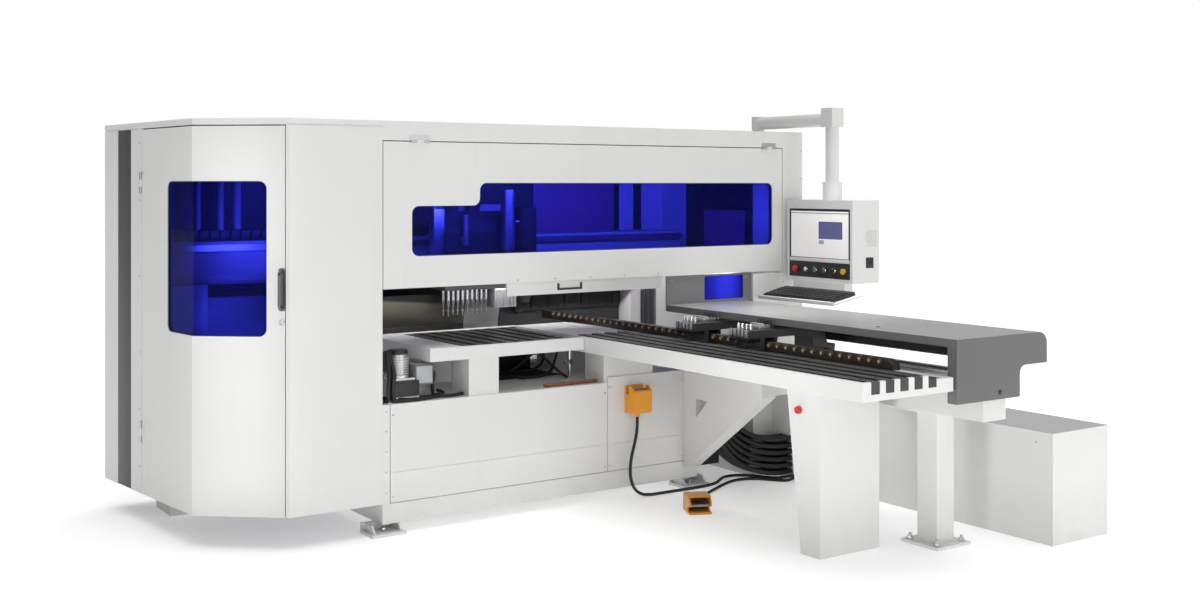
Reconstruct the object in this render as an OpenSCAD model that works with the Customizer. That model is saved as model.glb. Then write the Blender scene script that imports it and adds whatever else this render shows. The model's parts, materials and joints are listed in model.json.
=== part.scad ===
// Six-sided drilling machine for furniture panels.
// x runs to the right along the front, y to the back and z up from the floor.
// Planes are measured from the seam between bay and hood (x), the hood front (y) and the floor (z).

/* [Enclosure] */
// Height of the roof above the floor
roof_z = 2108; // [1900:1:2300]
// Thickness of the roof cap
roof_t = 33; // [25:1:60]
// Depth of the enclosure from the hood front to the back
enclosure_d = 1450; // [1400:1:1700]
// Length of the hood beyond the bed's right end
hood_over = 842; // [800:1:900]
// Width of the flat front of the bay
bay_front_w = 495; // [400:1:600]
// Width taken by the bay's slanted corner
bay_corner_w = 375; // [300:1:450]
// Depth taken by the bay's slanted corner
bay_corner_d = 320; // [250:1:400]
// How far the bay's side leans outwards towards the back
bay_splay = 120; // [60:1:140]
// Height of the bay's lower edge above the floor
bay_z = 160; // [140:1:200]
// Depth of the folded edge of every cover panel
panel_t = 30; // [20:1:40]
// Thickness of the cover sheet
sheet_t = 3; // [2:0.5:5]
// Radius of the dust outlet in the back cover
dust_r = 75; // [50:1:100]

/* [Doors] */
// Lower edge of the hood door
hood_z = 1250; // [1230:1:1300]
// Width of the strip to the right of the hood door
end_strip_w = 164; // [160:1:180]
// Gap round each door
door_gap = 5; // [4:0.5:8]
// Height of the fascia between roof cap and hood door
fascia_h = 67; // [60:1:90]
// Left edge of the hood window
window_x = 166; // [120:1:220]
// Width of the hood door's frame to the right of its window
window_right = 81; // [70:1:200]
// Lower edge of the hood window
window_z = 1413; // [1380:1:1450]
// Height of the hood window
window_h = 378; // [320:1:420]
// Height of the hood window's low part
window_low_h = 259; // [200:1:290]
// Place of the step in the hood window
window_step_x = 566; // [450:1:700]
// Corner radius of the windows
window_r = 40; // [20:1:55]
// Thickness of the window panes
pane_t = 8; // [5:0.5:10]
// Length of the bay door along the side
bay_door_side = 616; // [600:1:680]
// Lower edge of the bay window
bay_window_z = 1040; // [900:1:1100]
// Height of the bay window
bay_window_h = 760; // [600:1:800]
// Width of the bay window along the side
bay_window_side = 295; // [150:1:350]
// Width of the bay window along the slanted corner
bay_window_corner = 378; // [250:1:400]

/* [Bed] */
// Width of the bed
bed_w = 2038; // [1980:1:2060]
// Depth of the bed
bed_d = 1300; // [1200:1:1350]
// Height of the bed's top
bed_z = 662; // [640:1:680]
// Height of the bed's lower edge
bed_low_z = 55; // [45:1:80]
// Width of the front apron
apron_w = 1345; // [1300:1:1360]
// Height of the aprons' lower edge
apron_z = 162; // [140:1:180]
// Height of the crease across the aprons
crease_z = 317; // [280:1:360]
// Thickness of the aprons
apron_t = 12; // [8:1:20]
// Width of an anchor foot
foot_w = 190; // [150:1:220]
// Radius of the anchor bolt holes
anchor_r = 11; // [8:0.5:14]

/* [Tables] */
// Height of the tables
table_z = 930; // [900:1:950]
// Height of the infeed table's side band
table_h = 85; // [75:1:95]
// Height of the front table's band
front_band_h = 70; // [60:1:75]
// Left end of the front table
front_table_x = 270; // [200:1:320]
// Depth of the front table
front_table_d = 760; // [700:1:770]
// Distance of the infeed table's left edge from the bed's right end
infeed_inset = 802; // [798:1:840]
// Width of the infeed table
infeed_w = 575; // [572:1:580]
// Length of the infeed table in front of the hood
infeed_len = 2140; // [2050:1:2142]
// Width of a table slat
slat_w = 51; // [40:1:60]
// Pitch of the table slats
slat_pitch = 90; // [80:1:92]
// Height of a slat above the deck
slat_h = 20; // [19:1:25]
// Pitch of the roller wheels
wheel_pitch = 65; // [50:1:80]
// Radius of a roller wheel
wheel_r = 14; // [10:0.5:16]

/* [Heads] */
// Front face of the cross beam
beam_y = 1010; // [1005:1:1030]
// Lower edge of the cross beam
beam_z = 1236; // [1225:1:1245]
// Height of the cross beam
beam_h = 234; // [220:1:260]
// Depth of the cross beam
beam_d = 260; // [220:1:280]
// Left end of the cross beam, measured from the seam
beam_left = 760; // [700:1:800]
// Left end of the upper head at rest
head_x = 780; // [700:1:850]
// Width of the upper head
head_w = 480; // [460:1:520]
// Number of drill spindles in a row
spindle_count = 9; // [6:1:10]
// Pitch of the drill spindles
spindle_pitch = 32; // [30:1:40]
// Radius of a spindle nose
spindle_r = 10; // [8:0.5:12]
// Radius of the router motor
router_r = 75; // [60:1:85]
// Left end of the lower head at rest
lower_x = 850; // [800:1:900]
// Width of the lower head
lower_w = 360; // [320:1:380]

/* [Clamp beam] */
// Gap between the bed and the clamp beam
clamp_gap = 32; // [24:1:42]
// Width of the clamp beam
clamp_w = 160; // [150:1:170]
// Height of the clamp beam
clamp_h = 188; // [170:1:192]
// Lower face of the clamp beam
clamp_z = 672; // [668:1:680]
// Length of one clamp along the beam
clamp_l = 150; // [120:1:158]
// Place of the rear clamp in front of the hood
clamp_a_y = 420; // [380:1:440]
// Place of the front clamp in front of the hood
clamp_b_y = 880; // [865:1:920]

/* [Cover] */
// Distance of the grey cover's left edge from the clamp beam
cover_lap = 248; // [235:1:254]
// Width of the cover over its bulge
cover_w = 640; // [630:1:645]
// Top of the cover
cover_z = 1079; // [1076:1:1090]
// Thickness of the cover sheet
cover_t = 5; // [3:0.5:8]
// How far the cover reaches beyond the infeed table
cover_over = 10; // [8:1:60]
// Lower edge of the end cap
cap_z = 784; // [760:1:800]
// Depth of the end cap
cap_d = 55; // [45:1:65]

/* [Supports] */
// Distance of the front leg from the infeed table's left edge
leg_inset = 282; // [214:1:314]
// Width of the front leg
leg_w = 398; // [350:1:405]
// Distance of the leg's front from the infeed table's end
leg_back = 558; // [520:1:640]
// Depth of the leg at its top
leg_top_d = 238; // [200:1:260]
// Depth of the leg at the floor
leg_foot_d = 134; // [110:1:180]
// Width of the post tube
post_w = 125; // [110:1:130]
// Distance of the post's middle from the cover's end
post_back = 470; // [420:1:500]
// Width of the post's base plate
post_plate_w = 240; // [220:1:260]
// Distance of the cabinet's left face from the hood's right end
cabinet_inset = 256; // [240:1:280]
// Width of the cabinet
cabinet_w = 446; // [440:1:480]
// Length of the cabinet in front of the hood
cabinet_len = 2063; // [2000:1:2080]
// Height of the cabinet
cabinet_h = 556; // [500:1:600]

/* [Pendant] */
// Distance of the arm's pivot from the hood's right end
arm_inset = 38; // [36:1:50]
// Place of the arm's pivot behind the hood front
arm_y = 372; // [350:1:400]
// Length of the arm between its two pivots
arm_len = 677; // [675:1:710]
// Height of the arm's middle
arm_z = 2175; // [2170:1:2190]
// Radius of the arm tube
arm_r = 40; // [34:1:41]
// Radius of the drop tube
drop_r = 40; // [34:1:44]
// Width of the pendant box
pendant_w = 560; // [520:1:565]
// Depth of the pendant box
pendant_d = 220; // [190:1:222]
// Height of the pendant box
pendant_h = 490; // [460:1:520]
// Lower face of the pendant box
pendant_z = 1198; // [1190:1:1220]
// Tilt of the keyboard tray
tray_tilt = 11; // [6:1:12]
// Width of the keyboard tray
tray_w = 650; // [600:1:655]
// Depth of the keyboard tray
tray_d = 240; // [220:1:245]

/* [Pedals] */
// Width of a foot pedal
pedal_w = 125; // [115:1:135]
// Length of a foot pedal
pedal_l = 155; // [150:1:165]
// Height of a foot pedal
pedal_h = 95; // [90:1:105]
// Radius of the pedal cables
cable_r = 9; // [6:0.5:10]
// Turn of the pedal on the floor
floor_pedal_turn = -25; // [-40:1:-15]

/* [Hidden] */
$fn = 48;

// Shared small sizes
over = 1;
slide_gap = 0.4;
run_gap = 0.05;
groove = 4;

// Places that follow from the bed's width and the table's length
hood_w = bed_w + hood_over;
hood_door_w = hood_w - end_strip_w - 2 * door_gap;
window_end_x = door_gap + hood_door_w - window_right;
infeed_x = bed_w - infeed_inset;
clamp_x = bed_w + clamp_gap;
cover_x = clamp_x - cover_lap;
cover_len = infeed_len + cover_over;
leg_x = infeed_x + leg_inset;
leg_y = infeed_len - leg_back;
post_y = cover_len - post_back;
cabinet_x = hood_w - cabinet_inset;
arm_x = hood_w - arm_inset;

// Plan of the enclosure
cabinet_end_x = cabinet_x + cabinet_w;
corner_x = -bay_front_w - bay_corner_w;
rear_left = [corner_x - bay_splay, enclosure_d];
bend = [corner_x, bay_corner_d];
front_left = [-bay_front_w, 0];
seam = [0, 0];
front_right = [hood_w, 0];
rear_right = [hood_w, enclosure_d];
datum_x = (rear_left[0] + cabinet_end_x) / 2;
datum_y = (enclosure_d - cover_len) / 2;
cap_low_z = roof_z - roof_t;
door_top_z = cap_low_z - fascia_h - door_gap;

function unit(v) = v / norm(v);
function left_of(v) = [-v[1], v[0]];
function corner_shift(before, at, after, t) =
  let (m = left_of(unit(at - before)), n = left_of(unit(after - at))) at + (m + n) * t / (1 + m * n);
function shifted(path, t) =
  let (last = len(path) - 1)
  [for (i = [0 : last])
    i == 0 ? path[0] + left_of(unit(path[1] - path[0])) * t :
    i == last ? path[last] + left_of(unit(path[last] - path[last - 1])) * t :
    corner_shift(path[i - 1], path[i], path[i + 1], t)];
function reversed(path) = [for (i = [len(path) - 1 : -1 : 0]) path[i]];
function ring_shift(path, t) =
  let (n = len(path))
  [for (i = [0 : n - 1]) corner_shift(path[(i + n - 1) % n], path[i], path[(i + 1) % n], t)];
function angle_of(v) = atan2(v[1], v[0]);

side_dir = unit(rear_left - bend);
slant_dir = unit(front_left - bend);
side_len = norm(rear_left - bend);
slant_len = norm(front_left - bend);

// Puts a shape drawn on the machine's planes into the part's own frame.
module place() translate([-datum_x, -datum_y, 0]) children();

// A box between two corners.
module span(a, b) translate(a) cube(b - a);

// A flat rectangle with round corners.
module rounded(size, r) {
  translate([r, 0]) square([size[0] - 2 * r, size[1]]);
  translate([0, r]) square([size[0], size[1] - 2 * r]);
  for (x = [r, size[0] - r], y = [r, size[1] - r])
    translate([x, y]) circle(r);
}

// A sheet or panel that follows a path in plan.
module wall(path, t0, t1, z0, z1)
  translate([0, 0, z0])
    linear_extrude(z1 - z0)
      polygon(concat(shifted(path, t0), reversed(shifted(path, t1))));

// A drawing on the front (x across, z up), thick from y0 to y1.
module facing_front(y0, y1)
  translate([0, y1, 0])
    rotate([90, 0, 0])
      linear_extrude(y1 - y0)
        children();

// A drawing on the side (y across, z up), thick from x0 to x1.
module facing_side(x0, x1)
  translate([x0, 0, 0])
    rotate([90, 0, 90])
      linear_extrude(x1 - x0)
        children();

// A folded panel on the front, hollow at its back.
module front_tray(x0, x1, y0, z0, z1)
  difference() {
    span([x0, y0, z0], [x1, y0 + panel_t, z1]);
    span([x0 + sheet_t, y0 + sheet_t, z0 + sheet_t], [x1 - sheet_t, y0 + panel_t + over, z1 - sheet_t]);
  }

// A tube swept along points, closed at both ends.
function sweep_ring(path, i, r, sides) =
  let (
    last = len(path) - 1,
    along = unit(path[min(i + 1, last)] - path[max(i - 1, 0)]),
    flat = abs(along[2]) > 0.98 ? [1, 0, 0] : [0, 0, 1],
    u = unit(cross(flat, along)),
    v = cross(along, u)
  )
  [for (k = [0 : sides - 1]) path[i] + r * (cos(360 * k / sides) * u + sin(360 * k / sides) * v)];
module tube(path, r, sides) {
  n = len(path);
  points = [for (i = [0 : n - 1]) each sweep_ring(path, i, r, sides)];
  start = [[for (k = [0 : sides - 1]) k]];
  end = [[for (k = [sides - 1 : -1 : 0]) (n - 1) * sides + k]];
  walls = [for (i = [0 : n - 2], k = [0 : sides - 1])
    [i * sides + k, (i + 1) * sides + k, (i + 1) * sides + (k + 1) % sides, i * sides + (k + 1) % sides]];
  polyhedron(points, concat(start, end, walls), convexity = 6);
}
// Bed
bed_y = apron_t;
edge_w = 45;
right_apron_x = edge_w + apron_w + groove;
bed_corner_w = 100;
console_h = 52;
console_w = 120;
upright_d = 190;
upright_x = 506;
upright_w = 183;
support_inset = 664;
support_x = bed_w - support_inset;
support_w = 346;
rear_upright_y = 540;
beam_seat_shares = [0.15, 0.85];

module bed() color("whitesmoke") place() {
  difference() {
    span([0, bed_y, bed_low_z], [bed_w, bed_y + bed_d, bed_z]);
    span([edge_w, bed_y - over, apron_z - groove], [bed_w - bed_corner_w, bed_y + groove, apron_z]);
  }
  span([0, 0, bed_low_z], [edge_w - groove, bed_y, bed_z]);
  span([bed_w - bed_corner_w + groove, 0, bed_low_z], [bed_w, bed_y, bed_z]);
  span([edge_w - groove, groove, bed_low_z], [bed_w - bed_corner_w + groove, bed_y, apron_z - groove]);
  for (y = [bed_y, rear_upright_y]) {
    span([upright_x, y, bed_z], [upright_x + upright_w, y + upright_d, table_z - front_band_h]);
    span([support_x, y, bed_z], [support_x + support_w, y + upright_d, table_z - table_h]);
  }
  for (share = beam_seat_shares)
    span([bed_w, bed_y + bed_d * share, clamp_z - console_h],
      [clamp_x + clamp_w, bed_y + bed_d * share + console_w, clamp_z]);
}

// Aprons
screw_r = 6;
screw_inset = 14;
screw_low = 28;
screw_high = 55;
crease_d = 3;
right_apron_rise = 30;

module apron(x0, x1, z1)
  difference() {
    span([x0, 0, apron_z], [x1, apron_t, z1]);
    span([x0 - over, -over, crease_z - crease_d], [x1 + over, crease_d, crease_z]);
    for (x = [x0 + screw_inset, x1 - screw_inset], z = [apron_z + screw_low, z1 - screw_high])
      translate([x, crease_d, z])
        rotate([90, 0, 0])
          cylinder(r = screw_r, h = crease_d + over);
  }
module front_apron() color("white") place() apron(edge_w, edge_w + apron_w, bed_z);
module right_apron() color("white") place()
  apron(right_apron_x, bed_w - bed_corner_w, bed_z + right_apron_rise);

// Anchor feet
foot_t = 16;
foot_d = 150;
foot_out = 32;
foot_rib_t = 10;
foot_rib_z = 150;
foot_in_x = 25;
foot_rear_y = bed_y + bed_d;
foot_hole_y = 62;
module anchor_foot()
  difference() {
    union() {
      translate([-foot_w / 2, 0, 0]) cube([foot_w, foot_d, foot_t]);
      translate([-foot_w / 2, foot_d - foot_t, foot_t]) cube([foot_w, foot_t, bed_low_z - foot_t]);
      for (x = [-foot_w / 2 + foot_t, foot_w / 2 - foot_t - foot_rib_t])
        facing_side(x, x + foot_rib_t)
          polygon([[foot_t, foot_t], [foot_d - foot_t, foot_t], [foot_d - foot_t, bed_low_z],
            [foot_out + foot_t, bed_low_z]]);
    }
    translate([0, foot_hole_y, -over]) cylinder(r = anchor_r, h = foot_t + 2 * over);
  }
module anchor_feet() color("gainsboro") place()
  for (x = [foot_in_x, bed_w - foot_in_x]) {
    translate([x, -foot_out, 0]) anchor_foot();
    translate([x, foot_rear_y + foot_out, 0]) rotate(180) anchor_foot();
  }

// Columns that carry the cross beam
left_column_w = 200;
right_column_w = 405;
right_column_x = hood_w - right_column_w;
column_split_x = 205;
module beam_columns() color("whitesmoke") place() {
  span([-beam_left, beam_y, 0], [left_column_w - beam_left, beam_y + beam_d, beam_z]);
  difference() {
    span([right_column_x, 0, 0], [hood_w, beam_y + beam_d, beam_z]);
    span([right_column_x + column_split_x, -over, -over],
      [right_column_x + column_split_x + groove, groove, beam_z + over]);
  }
}

// Bay and hood covers
return_len = 18;
stripe_from = 763;
stripe_to = 944;
stripe_d = 4;
bay_panel_path = [front_left - slant_dir * return_len, front_left, seam];
side_path = [bend + side_dir * (side_len - groove), bend + side_dir * (bay_door_side + door_gap)];

module bay_front_panel() color("gainsboro") place()
  difference() {
    wall(bay_panel_path, 0, panel_t, bay_z, cap_low_z);
    span([-bay_front_w + panel_t, sheet_t, bay_z + sheet_t], [-sheet_t, panel_t + over, cap_low_z - sheet_t]);
  }

module side_panel() color("lightgray") place()
  difference() {
    wall(side_path, 0, panel_t, bay_z, cap_low_z);
    wall([bend + side_dir * stripe_to, bend + side_dir * stripe_from], -over, stripe_d, bay_z - over, cap_low_z + over);
  }

// Roof with its fascia and the stub that the pendant arm turns on
shadow_h = 6;
shadow_d = 5;
stub_r = 25;
stub_flange_r = 34;
hub_gap = 3;
hub_z = arm_z - arm_r - hub_gap;
roof_ring = [rear_left, bend, front_left, front_right, rear_right];
module roof() color("white") place() {
  translate([0, 0, cap_low_z])
    linear_extrude(shadow_h)
      polygon(ring_shift(roof_ring, shadow_d));
  translate([0, 0, cap_low_z + shadow_h])
    linear_extrude(roof_t - shadow_h)
      polygon(roof_ring);
  span([0, 0, cap_low_z - fascia_h], [hood_w, panel_t, cap_low_z + shadow_h]);
  translate([arm_x, arm_y, roof_z - over]) cylinder(r = stub_flange_r, h = hub_z - roof_z + over);
  translate([arm_x, arm_y, hub_z - over]) cylinder(r = stub_r, h = 2 * arm_r + over);
}

rear_inset = panel_t + 2 * sheet_t;
dust_x = 900;
dust_z = 1760;
module rear_cover() color("whitesmoke") place()
  difference() {
    translate([0, enclosure_d - panel_t, bay_z])
      linear_extrude(cap_low_z - bay_z)
        translate([rear_left[0] + rear_inset, 0])
          square([hood_w - rear_left[0] - rear_inset, panel_t]);
    translate([dust_x, enclosure_d + over, dust_z])
      rotate([90, 0, 0])
        cylinder(r = dust_r, h = panel_t + 2 * over);
  }

end_strip_x = hood_w - end_strip_w;
module right_end_panel() color("gainsboro") place() {
  span([end_strip_x, 0, beam_z], [hood_w, panel_t, cap_low_z - fascia_h]);
  span([hood_w - panel_t, panel_t, beam_z], [hood_w, enclosure_d - panel_t, cap_low_z]);
}

// Cross beam and the rails
beam_right_inset = 180;
beam_right_x = hood_w - beam_right_inset;
rail_w = 35;
rail_d = 25;
rail_neck = 5;
rail_inset = 34;
clamp_rail_inset = 30;
lower_rail_y = [830, 960];
lower_rail_x = 60;
lower_rail_inset = 318;
lower_rail_end = bed_w - lower_rail_inset;
module rail_section()
  polygon([[-rail_w / 2, 0], [rail_w / 2, 0], [rail_w / 2, rail_d / 3], [rail_w / 2 - rail_neck, rail_d / 2],
    [rail_w / 2, rail_d * 2 / 3], [rail_w / 2, rail_d], [-rail_w / 2, rail_d], [-rail_w / 2, rail_d * 2 / 3],
    [-rail_w / 2 + rail_neck, rail_d / 2], [-rail_w / 2, rail_d / 3]]);
module cross_beam() color("silver") place()
  span([-beam_left, beam_y, beam_z], [beam_right_x, beam_y + beam_d, beam_z + beam_h]);
beam_rail_z = [beam_z + rail_inset, beam_z + beam_h - rail_inset];
clamp_rail_x = [clamp_x + clamp_rail_inset, clamp_x + clamp_w - clamp_rail_inset];
clamp_rear_y = enclosure_d - panel_t;
clamp_len = cover_len - cap_d;
module guide_rails() color("silver") place() {
  for (z = beam_rail_z)
    translate([-beam_left, beam_y, z])
      rotate([90, 0, 90])
        linear_extrude(beam_right_x + beam_left)
          rotate(90) rail_section();
  for (x = clamp_rail_x)
    translate([x, clamp_rear_y, clamp_z + clamp_h])
      rotate([90, 0, 0])
        linear_extrude(clamp_rear_y + clamp_len)
          rail_section();
  for (y = lower_rail_y)
    translate([lower_rail_x, y, bed_z])
      rotate([90, 0, 90])
        linear_extrude(lower_rail_end - lower_rail_x)
          rail_section();
}

deflector_inset = 738;
deflector_x = bed_w - deflector_inset;
deflector_t = 8;
deflector_h = 190;
deflector_foot = 60;
module chip_deflector() color("#4a453c") place()
  facing_side(0, deflector_x)
    polygon([
      [beam_y + deflector_foot, bed_z], [beam_y + deflector_foot + deflector_t, bed_z],
      [beam_y + deflector_foot + deflector_t, table_z + deflector_t],
      [beam_y + deflector_t * 3, table_z + deflector_h], [beam_y + deflector_t * 2, table_z + deflector_h],
      [beam_y + deflector_foot, table_z]]);

// Tables
band_t = 20;
deck_t = 14;
deck_z = table_z - slat_h;
runway_drop = 2;
front_table_end = infeed_x - door_gap;
front_slat_x = 300;
front_slat_count = floor((front_table_end - front_slat_x) / slat_pitch);
front_rib = 40;
module front_table() color("white") place()
  difference() {
    union() {
      span([front_table_x, 0, table_z - front_band_h], [front_table_end, front_table_d, deck_z]);
      span([front_table_x, 0, deck_z], [front_table_end, band_t, table_z]);
      span([front_table_x, band_t, deck_z], [front_table_x + band_t, front_table_d, table_z]);
    }
    span([front_table_x + band_t, band_t, table_z - front_band_h - over],
      [upright_x - band_t, front_table_d - band_t, deck_z - deck_t]);
    span([upright_x + upright_w + band_t, band_t, table_z - front_band_h - over],
      [front_table_end - band_t, front_table_d - band_t, deck_z - deck_t]);
  }

slat_inset = 51;
slat_x = infeed_x + slat_inset;
infeed_slats = 5;
end_lip = 30;
end_t = 20;
slat_rear_y = 140;
runway_slat = 4;
function slat_left(i) = slat_x + i * slat_pitch;
runway_x = slat_left(runway_slat - 1) + slat_w;
module infeed_table() color("white") place()
  difference() {
    union() {
      span([infeed_x, -infeed_len, table_z - table_h], [infeed_x + infeed_w, front_table_d, deck_z]);
      span([infeed_x, -infeed_len, deck_z], [infeed_x + band_t, front_table_d, table_z]);
      span([infeed_x + band_t, -infeed_len, deck_z], [slat_x, end_t - infeed_len, table_z]);
      for (i = [0 : infeed_slats - 2])
        span([slat_left(i) + slat_w, -infeed_len, deck_z], [slat_left(i + 1), end_t - infeed_len, table_z]);
      span([infeed_x + band_t, slat_rear_y, deck_z], [runway_x, front_table_d, table_z]);
    }
    for (i = [0 : infeed_slats - 1])
      span([slat_left(i), -infeed_len - over, table_z - table_h + end_lip],
        [slat_left(i) + slat_w, end_t - infeed_len, deck_z + over]);
    for (i = [1 : 2])
      span([slat_left(i) + slat_w, slat_rear_y + end_t, deck_z + groove],
        [slat_left(i + 1) - slat_w / 2, front_table_d - end_t, table_z + over]);
    span([infeed_x + band_t, end_t - infeed_len, table_z - table_h - over],
      [infeed_x + infeed_w - band_t, -leg_y - band_t, deck_z - deck_t]);
    span([infeed_x + band_t, -leg_y + leg_top_d + band_t, table_z - table_h - over],
      [infeed_x + infeed_w - band_t, -band_t, deck_z - deck_t]);
  }

module slat(x, y0, y1, z1) span([x, y0, deck_z], [x + slat_w, y1, z1]);
module table_slats() color("#202020") place() {
  for (i = [0 : front_slat_count - 1])
    slat(front_slat_x + i * slat_pitch, band_t, front_table_d, table_z);
  for (i = [0 : infeed_slats - 1]) {
    top = i == runway_slat ? deck_z + slat_h / 5 : table_z;
    slat(slat_left(i), end_t - infeed_len, slat_rear_y, top);
    span([slat_left(i), -infeed_len, table_z - table_h + end_lip], [slat_left(i) + slat_w, end_t - infeed_len, top]);
  }
}

// Roller rail beside the clamps
roller_inset = 300;
roller_x = bed_w - roller_inset;
roller_w = 50;
roller_h = 50;
roller_back = 302;
roller_front_y = infeed_len - roller_back;
roller_rear_y = 1250;
roller_nose = 40;
wheel_t = 10;
wheel_z = deck_z + roller_h - wheel_r;
wheel_count = floor((roller_front_y + roller_rear_y - 3 * roller_nose) / wheel_pitch);
module roller_rail() color("#1c1a18") place()
  facing_side(roller_x, roller_x + roller_w)
    polygon([[-roller_front_y, deck_z], [roller_rear_y, deck_z], [roller_rear_y, deck_z + roller_h],
      [roller_nose - roller_front_y, deck_z + roller_h], [-roller_front_y, deck_z + roller_h / 2]]);
module roller_wheels() color("#d8b878") place()
  for (i = [0 : wheel_count - 1])
    translate([roller_x - wheel_t, roller_nose * 2 - roller_front_y + i * wheel_pitch, wheel_z])
      rotate([0, 90, 0])
        difference() {
          cylinder(r = wheel_r, h = wheel_t, $fn = 24);
          translate([0, 0, -over]) cylinder(r = wheel_r / 3, h = wheel_t / 3 + over, $fn = 16);
        }

// Drive unit on the left of the bed
drive_x = 60;
drive_y = 30;
drive_w = 170;
drive_d = 180;
drive_h = 120;
drive_motor_r = 48;
drive_motor_h = 120;
drive_foot_t = 15;
module side_drive() color("gainsboro") place() {
  span([drive_x - drive_foot_t, drive_y, bed_z], [drive_x + drive_w + drive_foot_t, drive_y + drive_d, bed_z + drive_foot_t]);
  span([drive_x, drive_y + drive_foot_t, bed_z], [drive_x + drive_w, drive_y + drive_d - drive_foot_t, bed_z + drive_h]);
  translate([drive_x + drive_w / 2, drive_y + drive_d / 2, bed_z + drive_h - over])
    cylinder(r = drive_motor_r, h = drive_motor_h + over);
  translate([drive_x + drive_w / 2, drive_y + drive_d / 2, bed_z + drive_h - over])
    cylinder(r = drive_motor_r + drive_foot_t, h = drive_foot_t);
}

// Clamp beam and its clamps
clamp_wall = 12;
module clamp_beam() color("whitesmoke") place()
  difference() {
    span([clamp_x, -clamp_len, clamp_z], [clamp_x + clamp_w, clamp_rear_y, clamp_z + clamp_h]);
    span([clamp_x + clamp_wall, -clamp_len + clamp_wall, clamp_z + clamp_wall],
      [clamp_x + clamp_w - clamp_wall, clamp_rear_y + over, clamp_z + clamp_h - clamp_wall]);
  }

shoe_h = 34;
shoe_lift = 6;
carriage_t = 22;
carriage_z = clamp_z + clamp_h + shoe_h + shoe_lift;
arm_clear = 22;
arm_low_z = deck_z + roller_h + arm_clear;
arm_t = 42;
jaw_x = runway_x + groove;
jaw_w = 80;
web_x = jaw_x + jaw_w + groove;
web_w = 30;
jaw_z = table_z;
jaw_plate_t = 14;
jaw_pad_t = 16;
jaw_gap = 2;
rod_r = 8;
rod_rise = 26;
rod_shares = [0.18, 0.39, 0.61, 0.82];
head_block_w = web_x + web_w - jaw_x;
arm_web_w = 60;

module shoe(length)
  translate([0, length / 2, 0])
    rotate([90, 0, 0])
      linear_extrude(length)
        difference() {
          translate([-rail_w / 2 - rail_neck * 2, shoe_lift]) square([rail_w + rail_neck * 4, shoe_h]);
          translate([-rail_w / 2 - slide_gap, 0]) square([rail_w + 2 * slide_gap, rail_d + slide_gap]);
        }

module clamp_body(y) translate([0, y, 0])
  difference() {
    union() {
      for (x = clamp_rail_x)
        translate([x, 0, clamp_z + clamp_h]) shoe(clamp_l);
      span([clamp_x, -clamp_l / 2, carriage_z - over], [clamp_x + clamp_w, clamp_l / 2, carriage_z + carriage_t]);
      facing_front(-clamp_l / 2, clamp_l / 2)
        polygon([
          [clamp_x, carriage_z], [clamp_x + arm_web_w * 2, carriage_z], [clamp_x + arm_web_w, arm_low_z + arm_t],
          [jaw_x, arm_low_z + arm_t], [jaw_x, arm_low_z], [clamp_x, arm_low_z]]);
      span([web_x, -clamp_l / 2, jaw_z - jaw_plate_t], [web_x + web_w, clamp_l / 2, arm_low_z + over]);
      span([jaw_x, -clamp_l / 2, jaw_z - jaw_plate_t], [web_x + web_w, clamp_l / 2, jaw_z]);
    }
    for (share = rod_shares)
      translate([jaw_x + jaw_w / 2, clamp_l * (share - 0.5), arm_low_z - over])
        cylinder(r = rod_r + run_gap, h = arm_t + 2 * over);
  }
module clamp_jaw(y) translate([0, y, 0]) {
  span([jaw_x, -clamp_l / 2, arm_low_z - jaw_gap - jaw_pad_t], [jaw_x + jaw_w, clamp_l / 2, arm_low_z - jaw_gap]);
  for (share = rod_shares)
    translate([jaw_x + jaw_w / 2, clamp_l * (share - 0.5), arm_low_z - jaw_gap - over])
      cylinder(r = rod_r, h = arm_t + jaw_gap + rod_rise + over);
}
module clamp_a() color("darkgray") place() clamp_body(-clamp_a_y);
module clamp_b() color("darkgray") place() clamp_body(-clamp_b_y);
module clamp_a_jaw() color("dimgray") place() clamp_jaw(-clamp_a_y);
module clamp_b_jaw() color("dimgray") place() clamp_jaw(-clamp_b_y);

// Grey cover over the clamp beam
lip_h = 38;
shoulder_r = 56;
bulge_low_z = 931;
step_w = 200;
step_r = 40;
cover_end_x = cover_x + cover_w;
cover_back_y = 14;
module cover_outline(inset) {
  r = shoulder_r - inset;
  translate([cover_x + inset, bulge_low_z + inset])
    square([cover_w - shoulder_r - inset, cover_z - bulge_low_z - 2 * inset]);
  translate([cover_end_x - shoulder_r, bulge_low_z + inset])
    square([shoulder_r - inset, cover_z - bulge_low_z - shoulder_r - inset]);
  translate([cover_end_x - shoulder_r, cover_z - shoulder_r]) circle(r);
}
module beam_cover() color("#717171") place()
  difference() {
    facing_front(-cover_len + cap_d, cover_back_y)
      cover_outline(0);
    facing_front(-cover_len + cap_d - over, cover_back_y + over)
      cover_outline(cover_t);
    span([cover_x - over, -cover_len + cap_d - over, bulge_low_z - over],
      [cover_x + 2 * cover_t, cover_back_y + over, cover_z - lip_h]);
    span([cover_x - over, -cover_len + cap_d - over, bulge_low_z - over],
      [cover_end_x - step_w, cover_back_y + over, bulge_low_z + 2 * cover_t]);
  }
cap_wall = 6;
cap_body_w = cover_w - step_w;
module cap_outline() {
  cover_outline(0);
  translate([cover_x, cap_z]) square([cap_body_w, cover_z - cap_z - shoulder_r]);
  translate([cover_x + cap_body_w, bulge_low_z - step_r])
    difference() {
      translate([-over, 0]) square([step_r + over, step_r + over]);
      translate([step_r, 0]) circle(step_r);
    }
}
module cover_end_cap() color("#6c6c6c") place()
  difference() {
    facing_front(-cover_len, -cover_len + cap_d) cap_outline();
    span([cover_x + cap_wall, -cover_len + cap_wall, bulge_low_z + cap_wall],
      [cover_end_x - step_w, -cover_len + cap_d + over, cover_z - cap_wall]);
  }

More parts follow.
